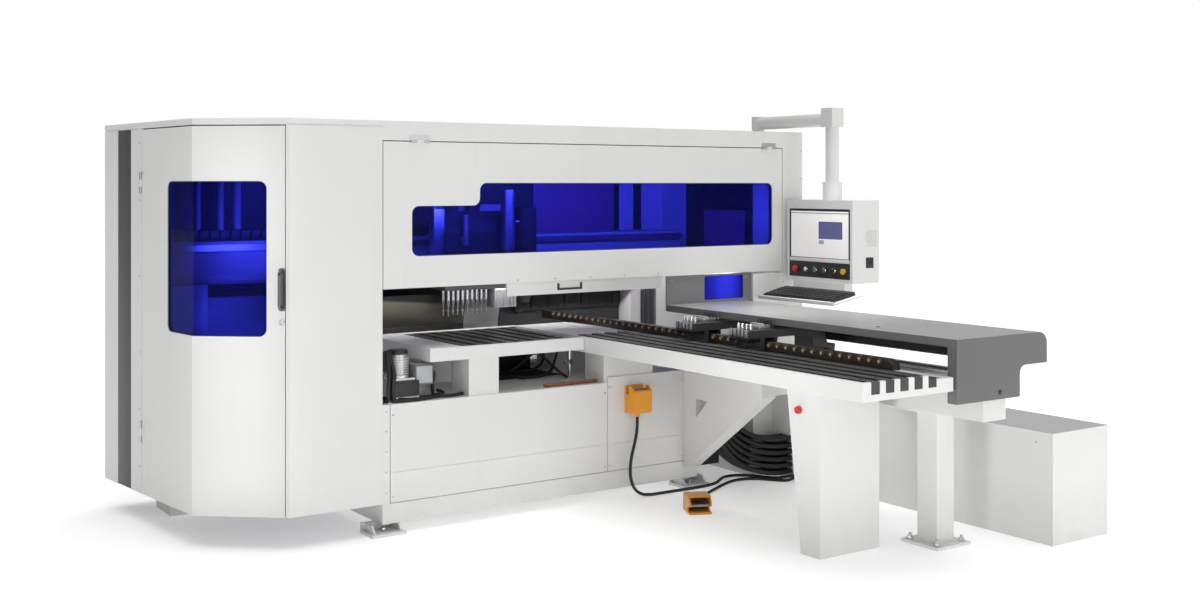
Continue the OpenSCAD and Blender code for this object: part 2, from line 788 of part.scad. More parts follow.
riser_w = right_column_x - cover_x;
riser_frame = 30;
riser_inset = 285;
riser_window_x = cover_x + riser_inset;
riser_window_w = 300;
module riser_hole() translate([riser_window_x, cover_z + riser_frame / 2])
  rounded([riser_window_w, hood_z - cover_z - riser_frame], riser_frame / 3);
module cover_riser() color("#7a7a7a") place()
  facing_front(cover_back_y, cover_back_y + apron_t)
    difference() {
      translate([cover_x, cover_z - lip_h]) square([riser_w, hood_z - door_gap - cover_z + lip_h]);
      riser_hole();
    }
module riser_window() color("blue") place()
  facing_front(cover_back_y + sheet_t, cover_back_y + sheet_t + pane_t)
    riser_hole();

// Front leg, beam post, brace and cabinet
estop_depth = 30;
estop_back = 142;
estop_y = leg_y - estop_back;
estop_z = 694;
estop_hole_r = 11;
leg_top_z = table_z - table_h;
module front_leg() color("whitesmoke") place()
  difference() {
    facing_side(leg_x, leg_x + leg_w)
      polygon([[-leg_y, 0], [-leg_y + leg_foot_d, 0], [-leg_y + leg_top_d, leg_top_z], [-leg_y, leg_top_z]]);
    translate([leg_x - over, -estop_y, estop_z])
      rotate([0, 90, 0])
        cylinder(r = estop_hole_r, h = estop_depth + over);
  }

post_t = 16;
post_bolt_r = 9;
post_bolt_h = 22;
post_bolt_inset = 32;
post_shift = 60;
post_x = clamp_x + clamp_w / 2 + post_shift;
post_top_w = 200;
module beam_post() color("whitesmoke") place()
  translate([post_x, -post_y, 0]) {
    translate([-post_plate_w / 2, -post_plate_w / 2, 0]) cube([post_plate_w, post_plate_w, post_t]);
    translate([-post_w / 2, -post_w / 2, 0]) cube([post_w, post_w, clamp_z]);
    translate([-post_top_w / 2, -post_top_w / 2, clamp_z - post_t]) cube([post_top_w, post_top_w, post_t]);
    for (x = [-1, 1], y = [-1, 1])
      translate([x * (post_plate_w / 2 - post_bolt_inset), y * (post_plate_w / 2 - post_bolt_inset), post_t - over])
        cylinder(r = post_bolt_r, h = post_bolt_h + over);
  }

brace_w = 100;
brace_reach = 690;
brace_top_z = 700;
brace_bar = 90;
brace_foot_z = 126;
brace_strut = 270;
brace_heel = 30;
brace_post = 110;
brace_hole = 110;
module brace_bracket() color("white") place() {
  facing_side(bed_w - brace_w, bed_w)
    difference() {
      polygon([[0, brace_foot_z], [0, brace_top_z], [-brace_reach, brace_top_z],
        [-brace_reach, brace_top_z - brace_bar], [-brace_heel, brace_foot_z]]);
      polygon([[-brace_post, brace_foot_z + brace_heel + brace_strut],
        [-brace_post, brace_foot_z + brace_heel + brace_strut + brace_hole],
        [-brace_post - brace_hole, brace_foot_z + brace_heel + brace_strut + brace_hole]]);
    }
  span([bed_w - brace_w, -brace_reach, clamp_z - console_h], [clamp_x + clamp_w, brace_bar - brace_reach, clamp_z]);
}

lid_t = 14;
gland_r = 14;
gland_y = 215;
gland_z = 30;
gland_l = 22;
gland_pitch = 45;
module cabinet() color("white") place() {
  span([cabinet_x + groove, groove - cabinet_len, 0], [cabinet_end_x - groove, 0, cabinet_h - lid_t]);
  span([cabinet_x, -cabinet_len, cabinet_h - lid_t], [cabinet_end_x, 0, cabinet_h]);
  for (y = [gland_y, gland_y + gland_pitch])
    translate([cabinet_x + groove - gland_l, -y, gland_z])
      rotate([0, 90, 0])
        cylinder(r = gland_r, h = gland_l + over);
}

// Foot pedals
pedal_base_t = 12;
pedal_wall = 8;
pedal_hood_y = 78;
pedal_hood_h = 30;
pivot_r = 5;
pivot_y = 122;
pivot_z = 30;
treadle_t = 12;
treadle_gap = 3;
treadle_front = 18;
gland_hole_z = 38;
module pedal_side()
  polygon([[0, 0], [pedal_l, 0], [pedal_l, pedal_h * 0.8], [pedal_l - pedal_hood_h / 2, pedal_h],
    [pedal_hood_h, pedal_h], [0, pedal_h - pedal_hood_h]]);
// The guard stands on z = 0, opens towards -y and holds the pivot pin of the treadle.
module pedal_case()
  translate([-pedal_w / 2, -pedal_l / 2, 0]) {
    difference() {
      facing_side(0, pedal_w) pedal_side();
      translate([pedal_wall, -over, pedal_base_t])
        cube([pedal_w - 2 * pedal_wall, pedal_l - pedal_wall + over, pedal_h - pedal_base_t - pedal_wall]);
      translate([-over, -over, pedal_base_t])
        cube([pedal_w + 2 * over, pedal_hood_y - pedal_hood_h, pedal_hood_h]);
    }
    translate([0, pivot_y, pivot_z]) rotate([0, 90, 0]) cylinder(r = pivot_r, h = pedal_w);
    translate([pedal_w / 2, pedal_l - over, gland_hole_z])
      rotate([-90, 0, 0])
        cylinder(r = gland_r, h = gland_l + over);
  }
module pedal_treadle()
  translate([-pedal_w / 2, -pedal_l / 2, 0])
    difference() {
      facing_side(pedal_wall + treadle_gap, pedal_w - pedal_wall - treadle_gap)
        difference() {
          union() {
            translate([treadle_front, pivot_z + treadle_gap * 3])
              square([pivot_y - treadle_front, treadle_t]);
            translate([pivot_y, pivot_z]) circle(treadle_t + treadle_gap);
          }
          translate([pivot_y, pivot_z]) circle(pivot_r + run_gap);
        }
      for (i = [1 : 6])
        translate([0, treadle_front + i * treadle_t, pivot_z + treadle_gap * 3 + treadle_t - over])
          cube([pedal_w, treadle_gap, 2 * over]);
    }

hung_inset = 466;
hung_x = bed_w - hung_inset;
hung_z = 560;
module hung_place() place()
  translate([hung_x, 0, hung_z]) rotate([90, 180, 0]) children();
floor_pedal_inset = 398;
floor_pedal_out = 500;
floor_pedal_at = [bed_w - floor_pedal_inset, -floor_pedal_out];
module floor_place() place()
  translate([floor_pedal_at[0], floor_pedal_at[1], 0]) rotate(floor_pedal_turn) children();

module hung_pedal() color("orange") hung_place() pedal_case();
module floor_pedal() color("orange") floor_place() pedal_case();
module hung_treadle() color("dimgray") hung_place() pedal_treadle();
module floor_treadle() color("dimgray") floor_place() pedal_treadle();

// Cables and hoses: route points from the bed's right end
hung_route = [
  [-466, -38, 460.5], [-466, -38, 430], [-472, -40, 372], [-490, -43, 305], [-512, -46, 235], [-524, -50, 165],
  [-520, -54, 105], [-496, -58, 52], [-455, -62, 22], [-400, -64, 11], [-320, -66, 9], [-230, -68, 9], [-140, -70, 9],
  [-50, -70, 9], [40, -62, 9], [120, -34, 9], [190, 16, 9], [255, 56, 9], [320, 62, 9], [378, 32, 9], [424, -22, 9],
  [458, -80, 9], [490, -134, 10], [520, -180, 18], [544, -208, 27], [556, -215, 30], [568, -215, 30]];
floor_route = [
  [568, -260, 30], [556, -260, 30], [536, -256, 25], [506, -238, 13], [468, -200, 9], [432, -150, 9], [392, -98, 9], [340, -62, 9],
  [278, -50, 9], [210, -62, 9], [140, -90, 9], [60, -132, 9], [-20, -176, 9], [-100, -220, 9], [-172, -256, 9],
  [-238, -286, 9], [-288, -312, 14], [-322, -344, 26], [-339, -373, 35], [-350.05, -397.13, 38], [-355.95, -409.82, 38]];
cable_sides = 8;
module from_bed_end() place() translate([bed_w, 0, 0]) children();
module hung_cable() color("#161616") from_bed_end() tube(hung_route, cable_r, cable_sides);
module floor_cable() color("#161616") from_bed_end() tube(floor_route, cable_r, cable_sides);

hose_r = 16;
hose_sides = 8;
hose_reach = hood_over - cabinet_inset + groove;
hose_shares = [
  [0, 0, 0], [0.05, 0, 0], [0.14, 0.02, 0.07], [0.25, 0.06, 0.28], [0.36, 0.14, 0.56], [0.47, 0.32, 0.79],
  [0.58, 0.57, 0.92], [0.69, 0.8, 0.98], [0.8, 0.94, 1], [0.92, 1, 1], [1, 1, 1]];
hose_starts = [[50, 520], [95, 520], [140, 520], [50, 470], [95, 470], [140, 470], [50, 420], [95, 420], [140, 420]];
hose_ends = [[-170, 126], [-130, 126], [-90, 126], [-170, 86], [-130, 86], [-90, 86], [-170, 46], [-130, 46], [-90, 46]];
function hose_path(from, to) =
  [for (share = hose_shares) [
    share[0] * hose_reach, from[0] + share[1] * (to[0] - from[0]), from[1] + share[2] * (to[1] - from[1])]];
module hose_bundle() color("#1a1a1a") from_bed_end()
  for (i = [0 : len(hose_starts) - 1])
    tube(hose_path(hose_starts[i], hose_ends[i]), hose_r, hose_sides);

// Hinges: the pin lies along z, the fixed leaf points to +x and the panel's face is at y = hinge_r
hinge_r = 7;
hinge_pin_r = 4;
hinge_l = 110;
hinge_leaf = 30;
leaf_t = 3;
leaf_weld = 0.5;
knuckle_l = 36;
knuckle_gap = 0.5;
module hinge_fixed() {
  cylinder(r = hinge_pin_r, h = hinge_l, center = true);
  for (side = [-1, 1])
    translate([0, 0, side * (hinge_l - knuckle_l) / 2]) {
      cylinder(r = hinge_r, h = knuckle_l, center = true);
      translate([0, hinge_r - leaf_t, -knuckle_l / 2]) cube([hinge_leaf, leaf_t, knuckle_l]);
    }
  translate([hinge_r + 2 * knuckle_gap, hinge_r - leaf_t, -hinge_l / 2]) cube([hinge_leaf - hinge_r, leaf_t, hinge_l]);
}
module hinge_moving() {
  middle = hinge_l - 2 * knuckle_l - 2 * knuckle_gap;
  difference() {
    union() {
      cylinder(r = hinge_r, h = middle, center = true);
      translate([-hinge_leaf, hinge_r - leaf_t, -middle / 2]) cube([hinge_leaf, leaf_t, middle]);
    }
    cylinder(r = hinge_pin_r + run_gap, h = hinge_l, center = true);
  }
  translate([-hinge_leaf, hinge_r - leaf_t, -hinge_l / 2])
    cube([hinge_leaf - hinge_r - 2 * knuckle_gap, leaf_t + leaf_weld, hinge_l]);
}
hood_hinge_left = 210;
hood_hinge_right = 111;
hood_hinge_x = [hood_hinge_left, door_gap + hood_door_w - hood_hinge_right];
hood_hinge_z = cap_low_z - fascia_h - door_gap / 2;
module at_hood_hinges()
  for (x = hood_hinge_x)
    translate([x, -hinge_r, hood_hinge_z]) rotate([0, -90, 0]) children();
bay_hinge_z = [485, 1790];
bay_hinge_at = bend + side_dir * (bay_door_side + door_gap / 2) + left_of(side_dir) * hinge_r;
module at_bay_hinges()
  for (z = bay_hinge_z)
    translate([bay_hinge_at[0], bay_hinge_at[1], z]) rotate([180, 0, angle_of(side_dir)]) children();
module door_hinges() color("dimgray") place() {
  at_hood_hinges() hinge_fixed();
  at_bay_hinges() hinge_fixed();
}

// Bay door: a bent panel with a window round its bend
latch_end = slant_len - return_len - door_gap;
bay_door_path = [bend + side_dir * bay_door_side, bend, bend + slant_dir * latch_end];
bay_window_path = [bend + side_dir * bay_window_side, bend, bend + slant_dir * bay_window_corner];
pane_in = 10;
handle_hole_r = 4;
module window_corner(at, dir, z, up)
  translate([at[0], at[1], z])
    rotate([90, 0, angle_of(dir)])
      translate([0, 0, -2 * panel_t])
        linear_extrude(4 * panel_t)
          mirror([0, up < 0 ? 1 : 0])
            difference() {
              translate([-over, -over]) square(window_r + over);
              translate([window_r, window_r]) circle(window_r);
            }
module bay_window_void(t0, t1)
  difference() {
    wall(bay_window_path, t0, t1, bay_window_z, bay_window_z + bay_window_h);
    for (up = [-1, 1]) {
      z = up < 0 ? bay_window_z + bay_window_h : bay_window_z;
      window_corner(bay_window_path[0], -side_dir, z, up);
      window_corner(bay_window_path[2], -slant_dir, z, up);
    }
  }
module bay_door() color("whitesmoke") place() {
  difference() {
    wall(bay_door_path, 0, panel_t, bay_z, cap_low_z - door_gap);
    bay_window_void(-over, panel_t + over);
  }
  at_bay_hinges() hinge_moving();
}
module bay_window() color("blue") place() bay_window_void(pane_in, pane_in + pane_t);

handle_z = 1166;
handle_h = 210;
handle_from = 438;
handle_w = 34;
handle_out = 46;
handle_bar = 12;
handle_bend = 20;
module bay_handle() color("silver") place()
  translate([bend[0] + slant_dir[0] * handle_from, bend[1] + slant_dir[1] * handle_from, handle_z])
    rotate([90, 0, angle_of(slant_dir)]) {
      linear_extrude(sheet_t)
        rounded([handle_w, handle_h], handle_w / 3);
      translate([(handle_w - handle_bar) / 2, handle_bar, 0])
        rotate([0, 90, 0])
          rotate([0, 0, 90])
            linear_extrude(handle_bar)
              difference() {
                translate([0, -handle_out])
                  rounded([handle_h - 2 * handle_bar, 2 * handle_out], handle_bend);
                translate([handle_bar, handle_bar - handle_out])
                  rounded([handle_h - 4 * handle_bar, 2 * handle_out - 2 * handle_bar], handle_bend - handle_bar);
                translate([-over, -handle_out - over]) square([handle_h, handle_out + over]);
              }
    }

// Hood door with its stepped window
module hood_window_outline() {
  translate([window_x, window_z])
    rounded([window_step_x - window_x + 3 * window_r, window_low_h], window_r);
  translate([window_step_x, window_z])
    rounded([window_end_x - window_step_x, window_h], window_r);
  translate([window_step_x - window_r, window_z + window_low_h - over])
    difference() {
      square([window_r + over, window_r + over]);
      translate([0, window_r + over]) circle(window_r);
    }
}
module hood_door() color("whitesmoke") place() {
  difference() {
    facing_front(0, panel_t)
      difference() {
        translate([door_gap, hood_z]) square([hood_door_w, door_top_z - hood_z]);
        hood_window_outline();
      }
    span([door_gap + sheet_t, sheet_t, hood_z + sheet_t],
      [window_x - panel_t, panel_t + over, door_top_z - sheet_t]);
  }
  at_hood_hinges() hinge_moving();
}
module hood_window() color("blue") place()
  facing_front(pane_in, pane_in + pane_t) hood_window_outline();

guard_x = 750;
guard_w = 1050;
guard_h = 72;
guard_lap = 30;
guard_t = 14;
pull_x = 1085;
pull_w = 140;
pull_h = 44;
pull_bar = 10;
pull_gap = 20;
module lower_guard() color("white") place()
  facing_front(panel_t, panel_t + guard_t)
    difference() {
      translate([guard_x, hood_z - guard_h]) square([guard_w, guard_h + guard_lap]);
      translate([pull_x, hood_z - pull_gap - pull_h / 2]) rounded([pull_w, pull_h / 2], pull_bar);
    }

// Upper head: saddle on the cross beam, sliding head, spindles and router
saddle_t = 30;
saddle_low = 30;
saddle_high = 190;
shoe_l = 110;
head_d = 150;
head_drop = 80;
head_rise = 150;
head_low_z = beam_z - head_drop;
head_top_z = beam_z + beam_h + head_rise;
head_back_y = beam_y - shoe_h - shoe_lift - saddle_t - slide_gap;
head_step_d = 60;
head_motor_r = 45;
head_motor_h = 180;
router_arm = 60;
router_gap = 15;
router_x = head_x + head_w + router_r + router_gap;
router_y = head_back_y - router_arm / 2 - router_r;
router_z = 1120;
router_h = 520;
module upper_saddle() color("gray") place() {
  for (x = [head_x + shoe_l / 2, head_x + head_w - shoe_l / 2], z = beam_rail_z)
    translate([x, beam_y, z]) rotate([90, 90, 0]) shoe(shoe_l);
  span([head_x, beam_y - shoe_h - shoe_lift - saddle_t, beam_z - saddle_low],
    [head_x + head_w, beam_y - shoe_h - shoe_lift + over, beam_z + beam_h + saddle_high]);
}
module upper_head() color("darkgray") place() {
  facing_side(head_x, head_x + head_w)
    polygon([[head_back_y, head_low_z], [head_back_y, head_top_z], [head_back_y - head_d + head_step_d, head_top_z],
      [head_back_y - head_d, head_top_z - head_step_d * 2], [head_back_y - head_d, head_low_z]]);
  for (share = [0.2, 0.5])
    translate([head_x + head_w * share, head_back_y - head_d / 2 + head_step_d / 2, head_top_z - over])
      cylinder(r = head_motor_r, h = head_motor_h + over);
  difference() {
    span([head_x + head_w - over, head_back_y - router_arm, beam_z + beam_h / 2],
      [router_x + router_r, head_back_y, beam_z + beam_h]);
    translate([router_x, router_y, beam_z]) cylinder(r = router_r, h = beam_h + over);
  }
}
nose_h = 60;
bit_r = 5;
bit_h = 40;
collet_h = 25;
spindle_rows = 2;
spindle_row_d = 64;
spindle_inset = 45;
side_nose_z = 40;
module spindle_nose() {
  translate([0, 0, -nose_h]) cylinder(r = spindle_r, h = nose_h, $fn = 24);
  translate([0, 0, -nose_h - collet_h]) cylinder(r1 = spindle_r * 0.7, r2 = spindle_r, h = collet_h, $fn = 24);
  translate([0, 0, -nose_h - collet_h - bit_h]) cylinder(r1 = bit_r * 0.4, r2 = bit_r, h = bit_h, $fn = 16);
}
module spindle_bank() color("lightgray") place() {
  for (i = [0 : spindle_count - 1], row = [0 : spindle_rows - 1])
    translate([head_x + spindle_inset + i * spindle_pitch, head_back_y - head_d + spindle_inset + row * spindle_row_d, head_low_z])
      spindle_nose();
  span([head_x + spindle_inset + spindle_count * spindle_pitch, head_back_y - head_d + spindle_inset / 2, head_low_z - nose_h],
    [head_x + head_w - spindle_inset / 2, head_back_y - spindle_inset / 2, head_low_z]);
}
router_collar_h = 60;
module router_motor() color("#3a3a40") place()
  translate([router_x, router_y, router_z]) {
    cylinder(r = router_r, h = router_h);
    translate([0, 0, -router_collar_h]) cylinder(r1 = router_r * 0.4, r2 = router_r * 0.7, h = router_collar_h);
  }

// Lower head on the bed
lower_gap = 60;
lower_plate_t = 24;
lower_plate_z = bed_z + shoe_h + shoe_lift;
lower_y0 = lower_rail_y[0] - lower_gap / 2;
lower_y1 = lower_rail_y[1] + lower_gap / 2;
lower_head_h = 110;
lower_nose_h = 30;
lower_count = 6;
module lower_saddle() color("gray") place() {
  for (x = [lower_x + shoe_l / 2, lower_x + lower_w - shoe_l / 2], y = lower_rail_y)
    translate([x, y, bed_z]) rotate(90) shoe(shoe_l);
  span([lower_x, lower_y0, lower_plate_z - over], [lower_x + lower_w, lower_y1, lower_plate_z + lower_plate_t]);
}
module lower_head() color("darkgray") place() {
  span([lower_x + lower_gap / 2, lower_y0 + lower_gap / 4, lower_plate_z + lower_plate_t + slide_gap],
    [lower_x + lower_w - lower_gap / 2, lower_y1 - lower_gap / 4, lower_plate_z + lower_plate_t + lower_head_h]);
  for (i = [0 : lower_count - 1], y = [lower_y0 + lower_gap, lower_y1 - lower_gap])
    translate([lower_x + lower_gap + lower_gap / 4 + i * spindle_pitch, y, lower_plate_z + lower_plate_t + lower_head_h - over])
      cylinder(r1 = spindle_r, r2 = spindle_r * 0.6, h = lower_nose_h + over, $fn = 24);
}

// Pendant: arm, box, panel, buttons, tray and keyboard
hub_r = 42;
elbow_w = 95;
elbow_top = 70;
elbow_low = 45;
collar_h = 110;
collar_r = 58;
drop_in = 90;
tube_wall = 5;
pendant_x = arm_x;
pendant_y = arm_y - arm_len;
pendant_top_z = pendant_z + pendant_h;
module pendant_arm() color("gainsboro") place() {
  difference() {
    union() {
      translate([arm_x, arm_y, hub_z + slide_gap]) cylinder(r = hub_r, h = 2 * arm_r + 2 * hub_gap);
      translate([arm_x, arm_y, arm_z])
        rotate([90, 0, 0])
          cylinder(r = arm_r, h = arm_len);
    }
    translate([arm_x, arm_y, hub_z - over]) cylinder(r = stub_r + run_gap, h = 2 * arm_r + 2 * over);
  }
  span([pendant_x - elbow_w / 2, pendant_y - elbow_w / 2, arm_z - elbow_low],
    [pendant_x + elbow_w / 2, pendant_y + elbow_w / 2, arm_z + elbow_top]);
  translate([pendant_x, pendant_y, pendant_top_z + slide_gap])
    cylinder(r = drop_r, h = arm_z - pendant_top_z);
}

panel_in = 8;
panel_w = 520;
panel_h = 415;
panel_lift = 22;
panel_z = pendant_z + panel_lift;
key_strip_h = 95;
screen_gap = 12;
box_edge = 10;
vent_pitch = 14;
vent_count = 7;
vent_w = 90;
vent_d = 6;
vent_share = 0.45;
port_w = 66;
port_share = 0.18;
button_r = 14;
stop_r = 20;
knob_r = 17;
button_hole_r = 8;
button_z = panel_z + key_strip_h / 2;
stop_inset = 60;
knob_inset = 50;
stop_y = pendant_y + panel_w / 2 - stop_inset;
knob_y = pendant_y - panel_w / 2 + knob_inset;
face_x = pendant_x - pendant_d / 2;
module control_hole(y)
  translate([face_x - over, y, button_z])
    rotate([0, 90, 0])
      cylinder(r = button_hole_r, h = pendant_d / 3);
module pendant_box() color("whitesmoke") place() {
  difference() {
    translate([face_x, pendant_y - pendant_w / 2, pendant_z])
      cube([pendant_d, pendant_w, pendant_h]);
    span([face_x - over, pendant_y - panel_w / 2, panel_z], [face_x + panel_in, pendant_y + panel_w / 2, panel_z + panel_h]);
    for (i = [0 : vent_count - 1])
      translate([pendant_x, pendant_y - pendant_w / 2 - over, pendant_z + pendant_h * vent_share + i * vent_pitch])
        cube([vent_w, vent_d + over, vent_pitch / 2]);
    translate([pendant_x, pendant_y - pendant_w / 2 - over, pendant_z + pendant_h * port_share])
      cube([port_w, vent_d + over, port_w]);
    control_hole(stop_y);
    control_hole(knob_y);
  }
  translate([pendant_x, pendant_y, pendant_top_z - over])
    difference() {
      cylinder(r = collar_r, h = collar_h + over);
      translate([0, 0, over]) cylinder(r = drop_r + run_gap, h = collar_h + over);
    }
}
key_count = 6;
module operator_panel() color("#22242a") place()
  difference() {
    span([face_x, pendant_y - panel_w / 2, panel_z], [face_x + panel_in, pendant_y + panel_w / 2, panel_z + panel_h]);
    span([face_x - over, pendant_y - panel_w / 2 + screen_gap, panel_z + key_strip_h + 2 * screen_gap],
      [face_x + sheet_t, pendant_y + panel_w / 2 - screen_gap, panel_z + panel_h - screen_gap]);
    control_hole(stop_y);
    control_hole(knob_y);
  }
button_travel = 5;
button_cap_h = 14;
stem_gap = 0.3;
module push_button(r)
  translate([-button_travel - button_cap_h, 0, 0])
    rotate([0, 90, 0]) {
      cylinder(r1 = r * 0.85, r2 = r, h = button_cap_h);
      cylinder(r = button_hole_r - stem_gap, h = button_cap_h + button_travel + pendant_d / 6);
    }
module stop_button() color("red") place() translate([face_x, stop_y, button_z]) push_button(stop_r);
module speed_knob() color("orange") place()
  translate([face_x - knuckle_gap, knob_y, button_z])
    rotate([0, -90, 0]) {
      difference() {
        cylinder(r = knob_r, h = button_cap_h);
        translate([-groove / 2, 0, button_cap_h - sheet_t]) cube([groove, knob_r, sheet_t + over]);
      }
      translate([0, 0, -pendant_d / 6]) cylinder(r = button_hole_r - stem_gap, h = pendant_d / 6 + over);
    }

tray_t = 10;
tray_lip = 22;
tray_shift = 40;
tray_under = 65;
tray_back_z = pendant_z - tray_under;
tray_drop = 60;
bracket_t = 8;
bracket_w = 60;
key_d = 190;
key_w = 590;
key_h = 16;
key_rise = 6;
module at_tray()
  translate([face_x, pendant_y - tray_shift, tray_back_z]) rotate([0, -tray_tilt, 0]) children();
module keyboard_tray() color("white") place() {
  at_tray() {
    translate([-tray_d, -tray_w / 2, 0]) cube([tray_d, tray_w, tray_t]);
    translate([-tray_d, -tray_w / 2, 0]) cube([tray_t, tray_w, tray_lip]);
  }
  span([face_x - bracket_t / 2, pendant_y - pendant_w / 2 + bracket_w, tray_back_z - tray_t],
    [face_x + bracket_w, pendant_y + pendant_w / 2 - bracket_w, pendant_z]);
}
module keyboard() color("#181818") place()
  at_tray()
    translate([-tray_d + 2 * tray_t, -key_w / 2, tray_t])
      facing_front(0, key_w)
        polygon([[0, 0], [key_d, 0], [key_d, key_h + key_rise], [0, key_h]]);

// Stop button on the leg
module leg_stop() color("red") place()
  translate([leg_x, -estop_y, estop_z])
    translate([-button_travel - button_cap_h, 0, 0])
      rotate([0, 90, 0]) {
        cylinder(r1 = stop_r * 0.85, r2 = stop_r, h = button_cap_h);
        cylinder(r = estop_hole_r - stem_gap, h = button_cap_h + button_travel + estop_depth / 2);
      }

bed();
front_apron();
right_apron();
anchor_feet();
beam_columns();
bay_front_panel();
side_panel();
roof();
rear_cover();
right_end_panel();
cross_beam();
guide_rails();
chip_deflector();
front_table();
infeed_table();
table_slats();
side_drive();
roller_rail();
roller_wheels();
clamp_beam();
beam_cover();
cover_riser();
riser_window();
cover_end_cap();
front_leg();
beam_post();
brace_bracket();
cabinet();
hung_pedal();
floor_pedal();
hung_cable();
floor_cable();
hose_bundle();
door_hinges();
bay_door();
bay_window();
bay_handle();
hood_door();
hood_window();
lower_guard();
upper_saddle();
upper_head();
spindle_bank();
router_motor();
lower_saddle();
lower_head();
clamp_a();
clamp_a_jaw();
clamp_b();
clamp_b_jaw();
pendant_arm();
pendant_box();
operator_panel();
keyboard_tray();
keyboard();
stop_button();
speed_knob();
leg_stop();
hung_treadle();
floor_treadle();
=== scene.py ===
# %% [markdown]
# # A six-sided drilling machine
# The machine's solids arrive from the CAD model as a fixed frame: every panel, table and clamp is already
# in its place, in metres. This lesson gives them their finishes, adds the small things that make the
# machine look used and real, and sets up the camera and the light.

# %% Load the frame
import bpy
import bmesh
import json
import math
from mathutils import Matrix, Vector
from mathutils.bvhtree import BVHTree


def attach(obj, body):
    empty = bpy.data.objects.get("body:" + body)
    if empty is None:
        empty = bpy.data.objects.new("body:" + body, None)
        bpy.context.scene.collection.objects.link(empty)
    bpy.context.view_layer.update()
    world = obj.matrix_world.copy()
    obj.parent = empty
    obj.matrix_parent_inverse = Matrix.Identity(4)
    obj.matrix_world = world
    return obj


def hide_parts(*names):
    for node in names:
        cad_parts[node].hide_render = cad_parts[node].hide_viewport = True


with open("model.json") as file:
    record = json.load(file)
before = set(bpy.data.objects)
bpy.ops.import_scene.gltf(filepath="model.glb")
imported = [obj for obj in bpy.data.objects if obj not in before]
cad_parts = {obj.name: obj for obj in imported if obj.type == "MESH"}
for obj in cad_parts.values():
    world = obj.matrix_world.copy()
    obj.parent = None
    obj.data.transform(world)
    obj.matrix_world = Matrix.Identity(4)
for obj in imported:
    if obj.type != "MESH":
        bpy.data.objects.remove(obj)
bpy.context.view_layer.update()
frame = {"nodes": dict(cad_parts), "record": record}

scene = bpy.context.scene

# %% [markdown]
# ## The machine's own planes
# A fitter measures this machine from the seam between the bay and the hood, from the hood's front and
# from the floor, in millimetres. One helper turns such a measure into the frame's metres, so that each
# number below can be checked with a tape on the real thing. The bay has a slanted corner, so a second
# helper walks along its outside: distances before the bend are negative, those after it positive.

# %% Measures
MM = 1000.0
SEAM = Vector((-1.04, 0.35, 0.0))
BEND = Vector((-870.0, 320.0))
SIDE = Vector((-120.0, 1130.0)).normalized()
SLANT = Vector((375.0, -320.0)).normalized()
SIDE_IN = Vector((SIDE.y, -SIDE.x))
SLANT_IN = Vector((-SLANT.y, SLANT.x))
LEFT, RIGHT = (-1, 0, 0), (1, 0, 0)
FRONT, BACK = (0, -1, 0), (0, 1, 0)
DOWN, UP = (0, 0, -1), (0, 0, 1)


def at(x, y, z):
    """A point measured from the bay seam, the hood front and the floor, in millimetres."""
    return SEAM + Vector((x, y, z)) / MM


def bay(s, depth=0.0):
    """A point on the bay's outside, so far along it and so deep in the panel."""
    if s == 0.0:
        return BEND + (SIDE_IN + SLANT_IN) * depth / (1.0 + SIDE_IN.dot(SLANT_IN))
    return BEND - SIDE * s + SIDE_IN * depth if s < 0.0 else BEND + SLANT * s + SLANT_IN * depth


print("bay seam at", tuple(SEAM), "inwards", tuple(SIDE_IN), tuple(SLANT_IN))

# %% [markdown]
# ## Camera
# The picture was taken from the infeed side at eye height with a level camera. A level camera keeps the
# posts upright, and the frame is then shifted down to take in the floor, as with a shift lens. The focal
# length and the horizon were fitted in pixels of the picture, and are turned into a lens and a shift
# here.

# %% Camera
SENSOR_MM = 36.0
PICTURE_WIDTH, PICTURE_MIDDLE = 1200.0, 300.0
FOCAL, HORIZON = 1364.0, 183.5
HEADING = (0.5678, 0.8231)

lens = bpy.data.cameras.new("view_lens")
lens.sensor_width = SENSOR_MM
lens.lens = SENSOR_MM * FOCAL / PICTURE_WIDTH
lens.shift_y = (HORIZON - PICTURE_MIDDLE) / PICTURE_WIDTH
lens.clip_end = 200.0
camera = bpy.data.objects.new("view", lens)
scene.collection.objects.link(camera)
camera.location = at(-3020, -6320, 1788)
camera.rotation_euler = (math.radians(90.0), 0.0, -math.atan2(*HEADING))
scene.camera = camera
print("camera at", tuple(round(c, 2) for c in camera.location))

# %% [markdown]
# ## Shader maths
# A finish is a small graph of nodes. To keep such a graph readable, one class wraps an output socket, so
# that a sum in Python adds the Math nodes for it, and a second class makes any other node. Both also
# serve for the light of the room at the end.

# %% Graphs as expressions


class Wire:
    """An output socket that takes part in sums."""

    def __init__(self, graph, socket):
        self.graph = graph
        self.socket = socket

    def maths(self, operation, a, b):
        return self.graph.node("ShaderNodeMath", {"operation": operation}, {0: a, 1: b})

    def __add__(self, other): return self.maths("ADD", self, other)
    def __radd__(self, other): return self.maths("ADD", other, self)
    def __sub__(self, other): return self.maths("SUBTRACT", self, other)
    def __rsub__(self, other): return self.maths("SUBTRACT", other, self)
    def __mul__(self, other): return self.maths("MULTIPLY", self, other)
    def __rmul__(self, other): return self.maths("MULTIPLY", other, self)
    def __gt__(self, other): return self.maths("GREATER_THAN", self, other)
    def __lt__(self, other): return self.maths("LESS_THAN", self, other)


